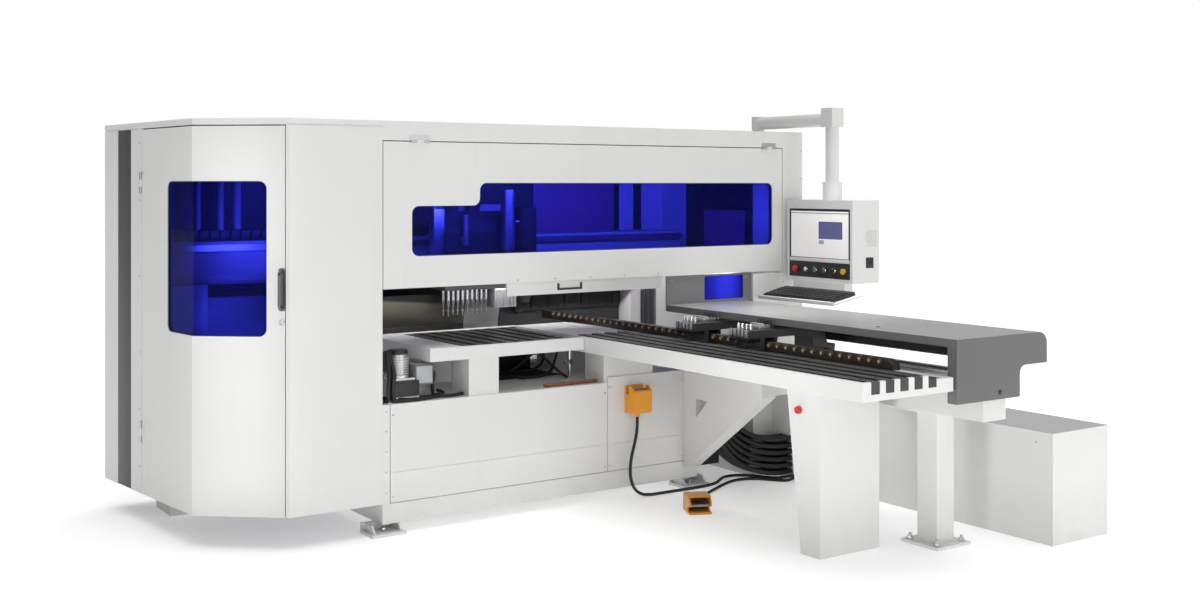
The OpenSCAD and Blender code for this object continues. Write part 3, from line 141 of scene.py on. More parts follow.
class Graph:
    """A tree of nodes under construction."""

    def __init__(self, tree):
        self.tree = tree

    def node(self, kind, settings=None, sockets=None, out=0):
        made = self.tree.nodes.new(kind)
        for key, value in (settings or {}).items():
            if key == "stops":
                elements = made.color_ramp.elements
                while len(elements) < len(value):
                    elements.new(0.5)
                for element, (place, colour) in zip(elements, value):
                    element.position = place
                    element.color = (*colour, 1.0)
            else:
                setattr(made, key, value)
        for key, value in (sockets or {}).items():
            if isinstance(value, Wire):
                self.tree.links.new(value.socket, made.inputs[key])
            else:
                made.inputs[key].default_value = value
        return Wire(self, made.outputs[out])

    def fade(self, value, low, high, at_low, at_high):
        return self.node("ShaderNodeMapRange", {}, {"Value": value, "From Min": low, "From Max": high,
                                                    "To Min": at_low, "To Max": at_high})


print("graph helpers ready")

# %% [markdown]
# ## Finishes
# A finish is a graph that ends in a material. It measures in Object coordinates, so its grain keeps its
# size on every piece. Nothing real has one even colour, so a mottle darkens the colour where a noise is
# low.

# %% Finishes


def shade(colour, factor):
    return tuple(c * factor for c in colour)


class Finish(Graph):
    """A material under construction."""

    def __init__(self, name):
        self.material = bpy.data.materials.new(name)
        self.material.use_nodes = True
        super().__init__(self.material.node_tree)
        self.tree.nodes.clear()
        self.out = self.tree.nodes.new("ShaderNodeOutputMaterial")

    def spot(self):
        return self.node("ShaderNodeTexCoord", out="Object")

    def along(self, direction):
        """How far a point lies along a direction, in metres."""
        return self.node("ShaderNodeVectorMath", {"operation": "DOT_PRODUCT"},
                         {0: self.spot(), 1: direction}, out="Value")

    def noise(self, scale, detail=3.0, stretch=(1.0, 1.0, 1.0), rough=0.5):
        place = self.node("ShaderNodeMapping", {}, {"Vector": self.spot(), "Scale": stretch})
        return self.node("ShaderNodeTexNoise", {}, {"Vector": place, "Scale": scale,
                                                    "Detail": detail, "Roughness": rough})

    def ramp(self, value, *stops):
        return self.node("ShaderNodeValToRGB", {"stops": stops}, {"Fac": value})

    def mottle(self, noise, colour, dark, edge=0.3):
        """The colour, darker where the noise is low."""
        return self.ramp(noise, (edge, shade(colour, dark)), (1.0 - edge, colour))

    def blend(self, factor, a, b):
        return self.node("ShaderNodeMix", {"data_type": "RGBA"}, {0: factor, 6: a, 7: b}, out=2)

    def bump(self, height, distance):
        return self.node("ShaderNodeBump", {}, {"Height": height, "Distance": distance})

    def surface(self, **sockets):
        named = {key.replace("_", " "): value for key, value in sockets.items()}
        return self.node("ShaderNodeBsdfPrincipled", {}, named)

    def finish(self, shader):
        self.tree.links.new(shader.socket, self.out.inputs["Surface"])
        return self.material


print("finish helpers ready")

# %% [markdown]
# ## Powder coat
# The covers are sheet steel with a baked powder coat: nearly white, satin, with the faint ripple that
# painters call orange peel. A fine noise bumps the surface, a broad one shifts the tone a little from
# panel to panel, and the lowest edge is a shade darker, where shoes and brooms touch it. Some covers have
# their inner faces painted dark, as painted shade inside the enclosure. A panel has one mesh for both
# sides, so its paint stops at a plane in the panel's thickness and the painted shade begins there. Dust
# settles on what faces up, and shows on the grey cover.

# %% Powder coat
INNER_SHADE = (0.020, 0.020, 0.022, 1.0)
SHADE_PLANE_DEPTH = 0.012
DUST = (0.62, 0.62, 0.61, 1.0)


def powder_coat(name, colour, rough=0.42, peel=0.00012, grime=0.22, coat=0.0,
                outward=None, face=None, shaded_within=(), shade_tone=INNER_SHADE, dust=0.0):
    """Paint on sheet steel, with painted shade behind a plane that lies just under an outward face."""
    f = Finish(name)
    broad = f.noise(1.7, 2.0)
    clean = f.mottle(broad, colour, 0.955)
    scuffs = f.noise(7.0, 6.0, rough=0.65)
    low = f.fade(f.along(UP), 0.03, 0.30, grime, 0.0)
    tone = f.blend(low * scuffs * 1.6, clean, (*shade(colour, 0.45), 1.0))
    streaks = f.noise(3.0, 5.0, (6.0, 6.0, 0.5), 0.6)
    tone = f.blend(f.fade(streaks, 0.58, 0.80, 0.0, 0.10), tone, (*shade(colour, 0.72), 1.0))
    # Behind the plane the colour is painted shade: inner faces darkened as if in the shade inside the
    # enclosure.
    if outward is not None:
        inside = f.along(outward) < Vector(outward).dot(at(*face)) - SHADE_PLANE_DEPTH
        for direction, limit in shaded_within:
            inside = inside * (f.along(direction) < limit)
        tone = f.blend(inside, tone, shade_tone)
    if dust:
        normal = f.node("ShaderNodeNewGeometry", out="Normal")
        upward = f.node("ShaderNodeSeparateXYZ", {}, {0: normal}, out="Z")
        settled = f.fade(upward, 0.6, 1.0, 0.0, dust) * (0.7 + 0.6 * scuffs)
        tone = f.blend(settled, tone, DUST)
    ripple = f.noise(420.0, 2.0)
    return f.finish(f.surface(Base_Color=tone, Roughness=rough + broad * 0.12 + streaks * 0.10 - 0.10,
                              Coat_Weight=coat, Normal=f.bump(ripple, peel)))


print("powder coat ready")

# %% The white covers
WHITE = (0.80, 0.80, 0.79)
white_paint = powder_coat("white_powder_coat", WHITE)
# Behind its outward face each of these covers is painted dark on the inside, as painted shade inside the
# enclosure.
rear_paint = powder_coat("rear_cover_coat", WHITE, outward=BACK, face=(0, 1450, 0), shaded_within=[(RIGHT, 1.44)])
roof_paint = powder_coat("roof_coat", WHITE, outward=UP, face=(0, 0, 2088), shaded_within=[(FRONT, -0.382)])
hood_paint = powder_coat("hood_door_coat", WHITE, outward=FRONT, face=(0, 14, 0))
side_paint = powder_coat("bay_side_coat", WHITE, outward=(-SIDE_IN.x, -SIDE_IN.y, 0),
                         face=(*bay(-700.0), 0))
end_paint = powder_coat("end_panel_coat", WHITE, outward=RIGHT, face=(2865, 0, 0),
                        shaded_within=[(BACK, 1.487), (FRONT, -0.763)])
# On the cabinet the same mask paints the top face a darker grey, as painted shade.
cabinet_paint = powder_coat("cabinet_coat", WHITE, outward=DOWN, face=(0, 0, 543.3),
                            shade_tone=(0.44, 0.44, 0.44, 1.0))
print("white paints", len(bpy.data.materials))

# %% The other paints
grey_paint = powder_coat("grey_powder_coat", (0.142, 0.142, 0.142), 0.30, 0.00006, dust=0.38)
# The riser's coat is a lighter copy of the grey coat: painted light, making up for the shade of the hood on the
# riser's front.
riser_lightened_paint = powder_coat("riser_lightened_coat", (0.205, 0.205, 0.21), 0.34, 0.00006)
stripe_paint = powder_coat("stripe_powder_coat", (0.072, 0.073, 0.076), 0.5)
dark_paint = powder_coat("dark_paint", (0.035, 0.032, 0.03), 0.45)
beam_paint = powder_coat("beam_paint", (0.46, 0.47, 0.49), 0.38)
rail_paint = powder_coat("rail_anodising", (0.045, 0.033, 0.026), 0.38)
clamp_paint = powder_coat("clamp_anodising", (0.045, 0.045, 0.048), 0.34)
lining_paint = powder_coat("inner_lining_paint", (0.40, 0.15, 0.30), 0.6)
orange_paint = powder_coat("orange_paint", (0.92, 0.36, 0.012), 0.36, grime=0.5, coat=0.2)
treadle_paint = powder_coat("treadle_paint", (0.30, 0.29, 0.27), 0.5)
print("all paints", len(bpy.data.materials))

# %% [markdown]
# ## Metals, plastics and rubber
# Ground steel shows the lines of the grinding wheel, aluminium is dull and even, and the black slats are
# a pressed plastic with a fine grain along their length. Each has a noise stretched along the way it was
# worked. Two pieces change along their height, the chip deflector and the clamp jaws, so each has a
# finish of its own; the deflector's change is painted shade.

# %% Metals
JAW_TOP = 0.981
DEFLECTOR_END = 0.015


def worked_metal(name, colour, rough, stretch=(1.0, 1.0, 1.0), scale=60.0):
    """Bare metal with the marks of its working along one axis."""
    f = Finish(name)
    marks = f.noise(scale, 4.0, stretch)
    tone = f.mottle(f.noise(5.0, 4.0), colour, 0.80, 0.35)
    return f.finish(f.surface(Base_Color=tone, Metallic=1.0, Roughness=rough + marks * 0.18 - 0.06,
                              Normal=f.bump(marks, 0.0001)))


def dusty_sheet(name):
    """A steel sheet with dust on it and painted shade along its height: a black painted shadow on top, olive in
    the middle and darker towards the bottom, and a bright end.
    """
    f = Finish(name)
    # The colour along the height is painted shade: black as a painted shadow along the top, whose edge drops to
    # the right, olive in the middle and darker towards the bottom.
    height = f.along(UP) + (f.along(RIGHT) + 0.53) * 0.09
    dust = f.noise(14.0, 5.0, (1.0, 1.0, 5.0))
    tone = f.ramp(f.fade(height, 0.90, 1.15, 0.0, 1.0), (0.0, (0.020, 0.018, 0.014)),
                  (0.30, (0.040, 0.037, 0.029)), (0.55, (0.125, 0.115, 0.086)),
                  (0.74, (0.150, 0.140, 0.108)), (0.80, (0.012, 0.012, 0.012)))
    tone = f.blend(dust * 0.35, tone, (0.030, 0.027, 0.021, 1.0))
    tone = f.blend(f.along(RIGHT) > DEFLECTOR_END, tone, (0.42, 0.42, 0.42, 1.0))
    return f.finish(f.surface(Base_Color=tone, Roughness=0.40 + dust * 0.2))


def jaw_steel(name):
    """Steel that is polished on the rods and dark on the jaw below them."""
    f = Finish(name)
    tone = f.blend(f.along(UP) > JAW_TOP, (0.05, 0.05, 0.052, 1.0), (0.75, 0.75, 0.76, 1.0))
    return f.finish(f.surface(Base_Color=tone, Metallic=1.0, Roughness=0.18 + f.noise(40.0, 3.0) * 0.2))


deflector_paint = dusty_sheet("deflector_sheet")
jaw_metal = jaw_steel("jaw_metal")
steel = worked_metal("ground_steel", (0.62, 0.62, 0.63), 0.30, (1.0, 30.0, 30.0))
aluminium = worked_metal("milled_aluminium", (0.70, 0.70, 0.71), 0.36, (20.0, 1.0, 20.0), 40.0)
chrome = worked_metal("polished_chrome", (0.78, 0.78, 0.79), 0.14, scale=20.0)
smoked_chrome = worked_metal("smoked_chrome", (0.20, 0.20, 0.21), 0.20, scale=20.0)
black_oxide = worked_metal("black_oxide_screws", (0.09, 0.09, 0.095), 0.38, scale=30.0)
copper = worked_metal("dull_copper", (0.42, 0.19, 0.10), 0.42, (1.0, 1.0, 12.0))
print("with metals", len(bpy.data.materials))

# %% Plastics and rubber


def moulded(name, colour, rough, grain=500.0, depth=0.00008, wear=0.85, stretch=(1.0, 1.0, 1.0)):
    """Plastic or rubber with a fine grain, worn darker in places."""
    f = Finish(name)
    fine = f.noise(grain, 3.0, stretch)
    broad = f.noise(9.0, 4.0)
    return f.finish(f.surface(Base_Color=f.mottle(broad, colour, wear),
                              Roughness=rough + broad * 0.12 - 0.06, Normal=f.bump(fine, depth)))


slat_plastic = moulded("slat_plastic", (0.060, 0.060, 0.058), 0.46, 120.0, 0.00025, 0.55, (6.0, 1.0, 6.0))
mat_rubber = moulded("deck_mat", (0.030, 0.029, 0.028), 0.75, 180.0, 0.0004, 0.6)
black_plastic = moulded("black_plastic", (0.016, 0.016, 0.017), 0.45)
rubber = moulded("cable_rubber", (0.013, 0.013, 0.013), 0.50, 300.0)
wheel_plastic = moulded("wheel_plastic", (0.10, 0.075, 0.05), 0.45)
hub_plastic = moulded("wheel_hub", (0.66, 0.52, 0.34), 0.40, 200.0, 0.00002, 0.75)
red_plastic = moulded("red_plastic", (0.66, 0.030, 0.02), 0.30, 200.0, 0.00002, 0.92)
green_plastic = moulded("green_plastic", (0.03, 0.20, 0.07), 0.30, 200.0, 0.00002, 0.92)
amber_plastic = moulded("amber_plastic", (0.80, 0.42, 0.05), 0.32, 200.0, 0.00002, 0.92)
panel_plastic = moulded("panel_plastic", (0.022, 0.021, 0.022), 0.34, 300.0, 0.00003, 0.9)
white_plastic = moulded("white_plastic", (0.76, 0.76, 0.75), 0.42, 400.0, 0.00003, 0.95)
print("with plastics", len(bpy.data.materials))

# %% [markdown]
# ## Blue panes
# The windows are sheets of deep blue acrylic. Light that comes through is tinted, and the sheet also
# shows a little of its own colour, so a see-through shader is mixed with a glossy blue one.

# %% Blue panes


def acrylic(name, through, body, share):
    f = Finish(name)
    clear = f.node("ShaderNodeBsdfTransparent", {}, {"Color": (*through, 1.0)})
    streaks = f.noise(2.2, 3.0, (1.0, 1.0, 0.3))
    sheet = f.surface(Base_Color=f.mottle(streaks, body, 0.7), Roughness=0.06 + streaks * 0.05,
                      Specular_IOR_Level=0.08)
    return f.finish(f.node("ShaderNodeMixShader", {}, {0: share, 1: clear, 2: sheet}))


blue_pane = acrylic("blue_acrylic", (0.15, 0.17, 0.78), (0.006, 0.008, 0.100), 0.28)
print("pane ready")

# %% [markdown]
# ## Dressing the solids
# Each CAD node keeps its shape and gets its finish: that of its material slot, or a special one. Real
# sheet metal has no knife edges: the mesh is welded and its edges are rounded by a few millimetres with
# modifiers, so that they catch the light.

# %% Dressing the solids
FINISHES = {
    "white_paint": white_paint, "grey_paint": grey_paint, "beam_paint": beam_paint, "steel": steel,
    "dark_paint": dark_paint, "black_plastic": black_plastic, "deflector_paint": deflector_paint,
    "aluminium": aluminium, "wheel_plastic": wheel_plastic, "blue_pane": blue_pane,
    "orange_paint": orange_paint, "cable_rubber": rubber, "chrome": chrome, "panel_plastic": panel_plastic,
    "red_plastic": red_plastic, "amber_plastic": amber_plastic, "treadle_paint": treadle_paint,
}
SPECIAL = {
    "table_slats": slat_plastic, "rear_cover": rear_paint, "roof": roof_paint, "hood_door": hood_paint,
    "side_panel": side_paint, "right_end_panel": end_paint, "clamp_a": clamp_paint, "clamp_b": clamp_paint,
    "clamp_a_jaw": jaw_metal, "clamp_b_jaw": jaw_metal, "side_drive": aluminium, "spindle_bank": chrome,
    "upper_head": clamp_paint, "cabinet": cabinet_paint, "bay_handle": smoked_chrome,
    "roller_rail": rail_paint, "cover_riser": riser_lightened_paint,
}
slot_of = {part["node"]: part["material_slot"] for part in frame["record"]["subparts"]}
for name, solid in frame["nodes"].items():
    solid.data.materials.clear()
    solid.data.materials.append(SPECIAL.get(name, FINISHES[slot_of[name]]))
print("dressed", len(frame["nodes"]))

# %% Rounding the edges
WELD_GAP = 0.00002
SHARP_EDGE = math.radians(40.0)
FOLDED = ("bed", "front_apron", "right_apron", "beam_columns", "roof", "front_table", "infeed_table",
          "beam_cover", "cover_end_cap", "front_leg", "beam_post", "cabinet", "brace_bracket", "clamp_beam",
          "pendant_box", "cover_riser", "clamp_a", "clamp_b", "keyboard_tray")
MOULDED = ("hung_pedal", "floor_pedal")


def soften(node, width, segments):
    solid = frame["nodes"][node]
    weld = solid.modifiers.new("weld", "WELD")
    weld.merge_threshold = WELD_GAP
    edge = solid.modifiers.new("edge", "BEVEL")
    edge.width = width
    edge.segments = segments
    edge.limit_method = "ANGLE"
    edge.angle_limit = SHARP_EDGE


for name in FOLDED:
    soften(name, 0.003, 2)
for name in MOULDED:
    soften(name, 0.005, 3)
print("softened", len(FOLDED) + len(MOULDED))

# %% [markdown]
# ## Tubes
# Hoses, cables and seals are curves with a round section, because a curve stays easy to lay and to
# change. Each new object is given its finish and the body of the machine that it moves with.

# %% Tubes


def enrol(made, body, finish):
    """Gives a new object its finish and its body."""
    made.data.materials.append(finish)
    scene.collection.objects.link(made)
    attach(made, body)
    print(made.name, "on", body)
    return made


def lines(name, routes, radius, body, finish, closed=False):
    """Tubes along routes: smooth between open ends, or closed rings with the points as given."""
    curve = bpy.data.curves.new(name, "CURVE")
    curve.dimensions = "3D"
    curve.bevel_depth = radius / MM
    curve.bevel_resolution = 3
    curve.resolution_u = 6
    curve.use_fill_caps = not closed
    for route in routes:
        if closed:
            spline = curve.splines.new("POLY")
            spline.points.add(len(route) - 1)
            for point, place in zip(spline.points, route):
                point.co = (*at(*place), 1.0)
            spline.use_cyclic_u = True
        else:
            spline = curve.splines.new("BEZIER")
            spline.bezier_points.add(len(route) - 1)
            for point, place in zip(spline.bezier_points, route):
                point.co = at(*place)
                point.handle_left_type = point.handle_right_type = "AUTO"
    return enrol(bpy.data.objects.new(name, curve), body, finish)


print("tubes ready")

# %% [markdown]
# ## Pedal cables
# Two black cables join the foot pedals to the bed's right end: one hangs from the pedal on the apron and
# then lies on the floor, the other lies on the floor all the way. A cable is a curve with a round
# section, laid through the same points as the CAD tube that it stands for, so that its length and its
# bends can be measured.

# %% Pedal cables
BED_END = 2038.0
CABLE_R = 9.0
LYING = 9.5
HUNG_ROUTE = [
    (-466, -38, 460.5), (-466, -38, 430), (-472, -40, 372), (-490, -43, 305), (-512, -46, 235),
    (-524, -50, 165), (-520, -54, 105), (-496, -58, 52), (-455, -62, 22), (-400, -64, 11), (-320, -66, 9),
    (-230, -68, 9), (-140, -70, 9), (-50, -70, 9), (40, -62, 9), (120, -34, 9), (190, 16, 9), (255, 56, 9),
    (320, 62, 9), (378, 32, 9), (424, -22, 9), (458, -80, 9), (490, -134, 10), (520, -180, 18),
    (544, -208, 27), (556, -215, 30), (568, -215, 30)]
FLOOR_ROUTE = [
    (568, -260, 30), (556, -260, 30), (536, -256, 25), (506, -238, 13), (468, -200, 9), (432, -150, 9),
    (392, -98, 9), (340, -62, 9), (278, -50, 9), (210, -62, 9), (140, -90, 9), (60, -132, 9), (-20, -176, 9),
    (-100, -220, 9), (-172, -256, 9), (-238, -286, 9), (-288, -312, 14), (-322, -344, 26), (-339, -373, 35),
    (-350.05, -397.13, 38), (-355.95, -409.82, 38)]


def from_bed_end(route):
    return [(BED_END + x, y, max(z, LYING)) for x, y, z in route]


hung_cable = lines("hung_pedal_cable", [from_bed_end(HUNG_ROUTE)], CABLE_R, "base", rubber)
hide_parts("hung_cable")
floor_cable = lines("floor_pedal_cable", [from_bed_end(FLOOR_ROUTE)], CABLE_R, "base", rubber)
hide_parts("floor_cable")

# %% [markdown]
# ## Air hoses
# Nine black hoses leave the end of the bed and sink to the cabinet, and nine more lie above them. Each is
# held at both ends by the machine, so it is drawn as a smooth tube. The lower nine take the place of the
# CAD tubes, with a steel ferrule where they leave the bed. All sink along one curve, given as shares of
# the way along, across and down. A ferrule is a turned shape, as from a lathe: a half outline that is
# spun round its axis. The mesh then becomes a piece: doubles are merged, normals turned outwards and
# faces shaded smooth up to an angle.

# %% Turned shapes
SMOOTH_UP_TO = math.radians(35.0)
SAME_POINT = 0.000002


def aim(direction):
    """A turn that points the Z axis in a direction."""
    return Vector(UP).rotation_difference(Vector(direction)).to_matrix().to_4x4()


def turned(bm, foot, axis, profile, steps=16):
    """A turned shape: pairs of radius and height along the axis."""
    shape = Matrix.Translation(at(*foot)) @ aim(axis)
    line = [bm.verts.new(shape @ Vector((r / MM, 0.0, h / MM))) for r, h in profile]
    edges = [bm.edges.new(pair) for pair in zip(line, line[1:])]
    bmesh.ops.spin(bm, geom=line + edges, cent=at(*foot), axis=Vector(axis).normalized(),
                   angle=2.0 * math.pi, steps=steps, use_merge=True, use_duplicate=False)


def piece(bm, name, body, finish):
    """Turns a finished mesh into a piece that moves with a body."""
    bmesh.ops.remove_doubles(bm, verts=bm.verts, dist=SAME_POINT)
    bmesh.ops.recalc_face_normals(bm, faces=bm.faces)
    mesh = bpy.data.meshes.new(name)
    bm.to_mesh(mesh)
    bm.free()
    for face in mesh.polygons:
        face.use_smooth = True
    mesh.set_sharp_from_angle(angle=SMOOTH_UP_TO)
    enrol(bpy.data.objects.new(name, mesh), body, finish)


print("turned shapes ready")

# %% Air hoses
HOSE_R = 16.0
HOSE_SHARES = [(0, 0, 0), (0.05, 0, 0), (0.14, 0.02, 0.07), (0.25, 0.06, 0.28), (0.36, 0.14, 0.56),
               (0.47, 0.32, 0.79), (0.58, 0.57, 0.92), (0.69, 0.8, 0.98), (0.8, 0.94, 1), (0.92, 1, 1),
               (1, 1, 1)]
FERRULE = [(0, 0), (23, 0), (23, 8), (19.5, 10), (19.5, 26), (17.5, 28), (15, 28), (0, 28)]
GRID = [(i, j) for j in range(3) for i in range(3)]


def sinking(start, run, ends):
    return [[(start + run * a, y0 + b * (y1 - y0), z0 + c * (z1 - z0)) for a, b, c in HOSE_SHARES]
            for (y0, z0), (y1, z1) in ends]


lower_ends = [((50 + 45 * i, 520 - 50 * j), (-170 + 40 * i, 126 - 40 * j)) for i, j in GRID]
upper_ends = [((50 + 45 * i, 570 + 50 * j), (-170 + 40 * i, 166 + 40 * j)) for i, j in GRID]
hose_set = lines("air_hoses", sinking(BED_END, 590, lower_ends), HOSE_R, "base", rubber)
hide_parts("hose_bundle")
bm = bmesh.new()
for (y, z), _ in lower_ends:
    turned(bm, (BED_END - 1, y, z), RIGHT, FERRULE)
piece(bm, "hose_ferrules", "base", steel)
lines("upper_hoses", sinking(BED_END - 4, 594, upper_ends), HOSE_R, "base", rubber)

# %% [markdown]
# ## Stripe, seals and lock of the bay
# The bay's side carries a dark vertical plate in a shallow recess. The windows sit in black rubber seals:
# a seal is a thin tube laid round the window's edge, so a rounded outline is worked out once, on the
# flat, and then wrapped round the bay's bend by the measuring helper. The door also has a small key lock
# below its handle.

# %% Stripe of the bay


def round_edges(bm, verts, edge, segments=2):
    edges = list({e for v in verts for e in v.link_edges})
    bmesh.ops.bevel(bm, geom=edges, offset=edge / MM, offset_type="OFFSET", segments=segments, profile=0.5,
                    affect="EDGES", clamp_overlap=True, material=-1)


def slab(bm, start, end, inward, t0, t1, z0, z1, edge):
    """A block that stands along a line on the plan, with its thickness measured inwards."""
    run, deep = (end - start) / MM, inward * (t1 - t0) / MM
    middle = (start + end) / 2.0 + inward * (t0 + t1) / 2.0
    axes = Matrix(((run.x, deep.x, 0.0), (run.y, deep.y, 0.0), (0.0, 0.0, (z1 - z0) / MM))).to_4x4()
    shape = Matrix.Translation(at(*middle, (z0 + z1) / 2.0)) @ axes
    round_edges(bm, bmesh.ops.create_cube(bm, size=1.0, matrix=shape)["verts"], edge)


bm = bmesh.new()
slab(bm, bay(-764.0), bay(-943.0), SIDE_IN, 0.6, 4.0, 162.0, 2073.0, 0.8)
piece(bm, "bay_stripe", "base", stripe_paint)

# %% Window seals and door lock
SEAL_R, SEAL_DEPTH = 3.5, 8.0
CORNER_R, CORNER_STEPS = 40.0, 5


def rounded(corners):
    """An outline with rounded corners; a corner given with a third value keeps its point."""
    outline = []
    for before, corner, after in zip(corners[-1:] + corners[:-1], corners, corners[1:] + corners[:1]):
        here = Vector(corner[:2])
        if len(corner) > 2:
            outline.append(here)
            continue
        a = here + (Vector(before[:2]) - here).normalized() * CORNER_R
        b = here + (Vector(after[:2]) - here).normalized() * CORNER_R
        for i in range(CORNER_STEPS + 1):
            t = i / CORNER_STEPS
            outline.append(a * (1 - t) ** 2 + here * 2 * t * (1 - t) + b * t ** 2)
    return outline


bay_edge = rounded([(-294, 1041), (0, 1041, 1), (377, 1041), (377, 1799), (0, 1799, 1), (-294, 1799)])
bay_seal = [(*bay(s, SEAL_DEPTH), z) for s, z in bay_edge]
lines("bay_window_seal", [bay_seal], SEAL_R, "bay_door", rubber, closed=True)
hood_edge = rounded([(167, 1414), (2629, 1414), (2629, 1790), (566, 1790), (566, 1673), (167, 1673)])
hood_seal = [(x, SEAL_DEPTH, z) for x, z in hood_edge]
lines("hood_window_seal", [hood_seal], SEAL_R, "hood_door", rubber, closed=True)
bm = bmesh.new()
turned(bm, (*bay(455.0), 1110.0), (-SLANT_IN.x, -SLANT_IN.y, 0.0),
       [(0, -1), (16, -1), (16, 3), (13, 6), (9, 6), (8, 3), (0, 3)])
piece(bm, "bay_lock", "bay_door", chrome)

# %% [markdown]
# ## Blocks and screws
# Most of the small pieces are blocks with rounded edges, so a piece of blocks only has a short way of its
# own. A screw has to sit on its panel, not float or sink, so a line is shot at the CAD solid and the
# screw goes where the line meets it. A search tree of the solid's faces makes this quick, and is kept for
# the next screw.

# %% Blocks


def block(bm, low, high, edge=0.0, segments=2):
    """A block between two corners."""
    a, b = at(*low), at(*high)
    shape = Matrix.Translation((a + b) / 2.0) @ Matrix.Diagonal((*(b - a), 1.0))
    made = bmesh.ops.create_cube(bm, size=1.0, matrix=shape)
    if edge:
        round_edges(bm, made["verts"], edge, segments)


def blocks(name, body, finish, slot, *shapes):
    """A piece of blocks only: for each its two corners and, where rounded, the radius of its edges."""
    bm = bmesh.new()
    for shape in shapes:
        block(bm, *shape)
    piece(bm, name, body, finish)


print("blocks ready")

# %% Screws
trees = {}


def touch(node, start, direction):
    """Where a line from a point first meets a solid, in millimetres."""
    if node not in trees:
        mesh = frame["nodes"][node].data
        trees[node] = BVHTree.FromPolygons([v.co for v in mesh.vertices], [p.vertices for p in mesh.polygons])
    hit = trees[node].ray_cast(at(*start), Vector(direction))[0]
    if hit is None:
        raise ValueError("nothing of " + node + " at " + str(start))
    return tuple((hit - SEAM) * MM)


def screw(bm, node, start, direction, r, steps=12):
    """A socket screw with a low head on the face that the line meets."""
    away = tuple(-c for c in direction)
    head = [(0, -0.6), (r, -0.6), (r, r * 0.18), (r * 0.82, r * 0.42), (r * 0.5, r * 0.5),
            (r * 0.46, r * 0.2), (0, r * 0.2)]
    turned(bm, touch(node, start, direction), away, head, steps)


print("screws ready")

# %% [markdown]
# ## Small parts of the hood
# The hood door is lifted at a slot in the plate below it. The slot has a dark pressed frame and a pale
# plate behind it, and screws hold the slotted plate to the door. A rubber strip behind the seam over the
# door keeps the light of the inside from shining through.

# %% Small parts of the hood
blocks("pull_frame", "hood_door", dark_paint, "dark_paint", ((1073, 25, 1205), (1086, 31, 1236), 1.5),
       ((1224, 25, 1205), (1237, 31, 1236), 1.5), ((1073, 25, 1198), (1237, 31, 1209), 1.5))
blocks("pull_back_plate", "hood_door", white_paint, "white_paint", ((1080, 31.2, 1200), (1230, 34, 1240), 0.8))
blocks("hood_seam_seal", "base", rubber, "black_plastic",
       ((2, 31.5, 1992), (2714, 36, 2020), 1.0), ((2, 2, 2012), (2714, 33, 2016), 1.0))
bm = bmesh.new()
for x in (800, 1040, 1275, 1510, 1750):
    screw(bm, "hood_door", (x, -60, 1266), BACK, 6.0)
piece(bm, "guard_screws", "hood_door", steel)

# %% [markdown]
# ## Table mats and slat screws
# Between the black slats the tables are covered with dark mats, so that a panel never meets bare paint,
# and pale plates edge the front table. The slats are held by sunk screws, on the pitch of the slats.

# %% Table mats and slat screws
PITCH, SLAT_LEFT, INFEED_LEFT = 90, 300, 1287
MAT_LOW, MAT_TOP = 909.6, 911.5
front_gaps = [(290.5, 299.5)]
front_gaps += [(SLAT_LEFT + PITCH * i + 51.5, SLAT_LEFT + PITCH * (i + 1) - 0.5) for i in range(9)]
front_gaps += [(1161.5, 1230.0)]
infeed_gaps = [(1256.5, 1286.5), (1338.5, 1376.5), (1428.5, 1466.5), (1518.5, 1556.5), (1608.5, 1646.5),
               (1698.5, 1737.5)]
blocks("table_mats", "base", slat_plastic, "black_plastic",
       *[((left, 20.5, MAT_LOW), (right, 759.5, MAT_TOP)) for left, right in front_gaps],
       *[((left, -2119.0, MAT_LOW), (right, 139.0, MAT_TOP)) for left, right in infeed_gaps])
blocks("table_edge_plates", "base", white_paint, "white_paint",
       ((270, 2, 929.9), (458, 759, 932), 0.6), ((458, 705, 929.9), (1231, 759, 932), 0.6))
bm = bmesh.new()
places = [(SLAT_LEFT + PITCH * i + 25.5, y) for i in range(2, 10) for y in (90, 390, 640)]
places += [(INFEED_LEFT + PITCH * i + 25.5, y) for i in range(4) for y in (-2050, -1530, -1010, -490, 70)]
for x, y in places:
    screw(bm, "table_slats", (x, y, 1000), DOWN, 5.5, 8)
piece(bm, "slat_screws", "base", black_oxide)

# %% [markdown]
# ## Roller rail
# Each wheel of the roller rail turns on a pale cap, and these caps make the bright dots along the rail. A
# shape that is repeated this often is kept to a few faces.

# %% Roller rail
WHEELS, WHEEL_PITCH = 45, 65
bm = bmesh.new()
for i in range(WHEELS):
    turned(bm, (1728, -1758 + WHEEL_PITCH * i, 946), LEFT,
           [(0, -1), (7.5, -1), (7.5, 0.4), (5, 1.0), (0, 1.2)], 8)
piece(bm, "wheel_caps", "base", hub_plastic)
bm = bmesh.new()
for i in range(0, WHEELS + 1, 5):
    screw(bm, "roller_rail", (1900, -1790 + WHEEL_PITCH * i, 938), LEFT, 6.0)
piece(bm, "rail_screws", "base", steel)

# %% [markdown]
# ## Clamps
# Each clamp grips a panel's edge with a jaw that air pushes down. A valve block with push-in fittings
# sits on the arm, and thin air tubes loop from it to the arm's side. The jaw's rods carry turned caps: a
# straight side and then a slope to a flat top, an outline that buttons, nuts and plugs share. Bright
# finger plates face the table, and a rubber wiper keeps chips off the guide. All of this moves with its
# clamp, so one loop makes both.

# %% Clamps
PORTS = (-30, -10, 10, 30)
FITTING = [(0, 0), (7, 0), (7, 5), (5.5, 6), (5.5, 9), (7, 10), (7, 13), (4, 14), (0, 14)]


def cap(r, side, top_r, top, foot=0):
    """The outline of a cap: a straight side, then a slope to a flat top."""
    return [(0, foot), (r, foot), (r, side), (top_r, top), (0, top)]


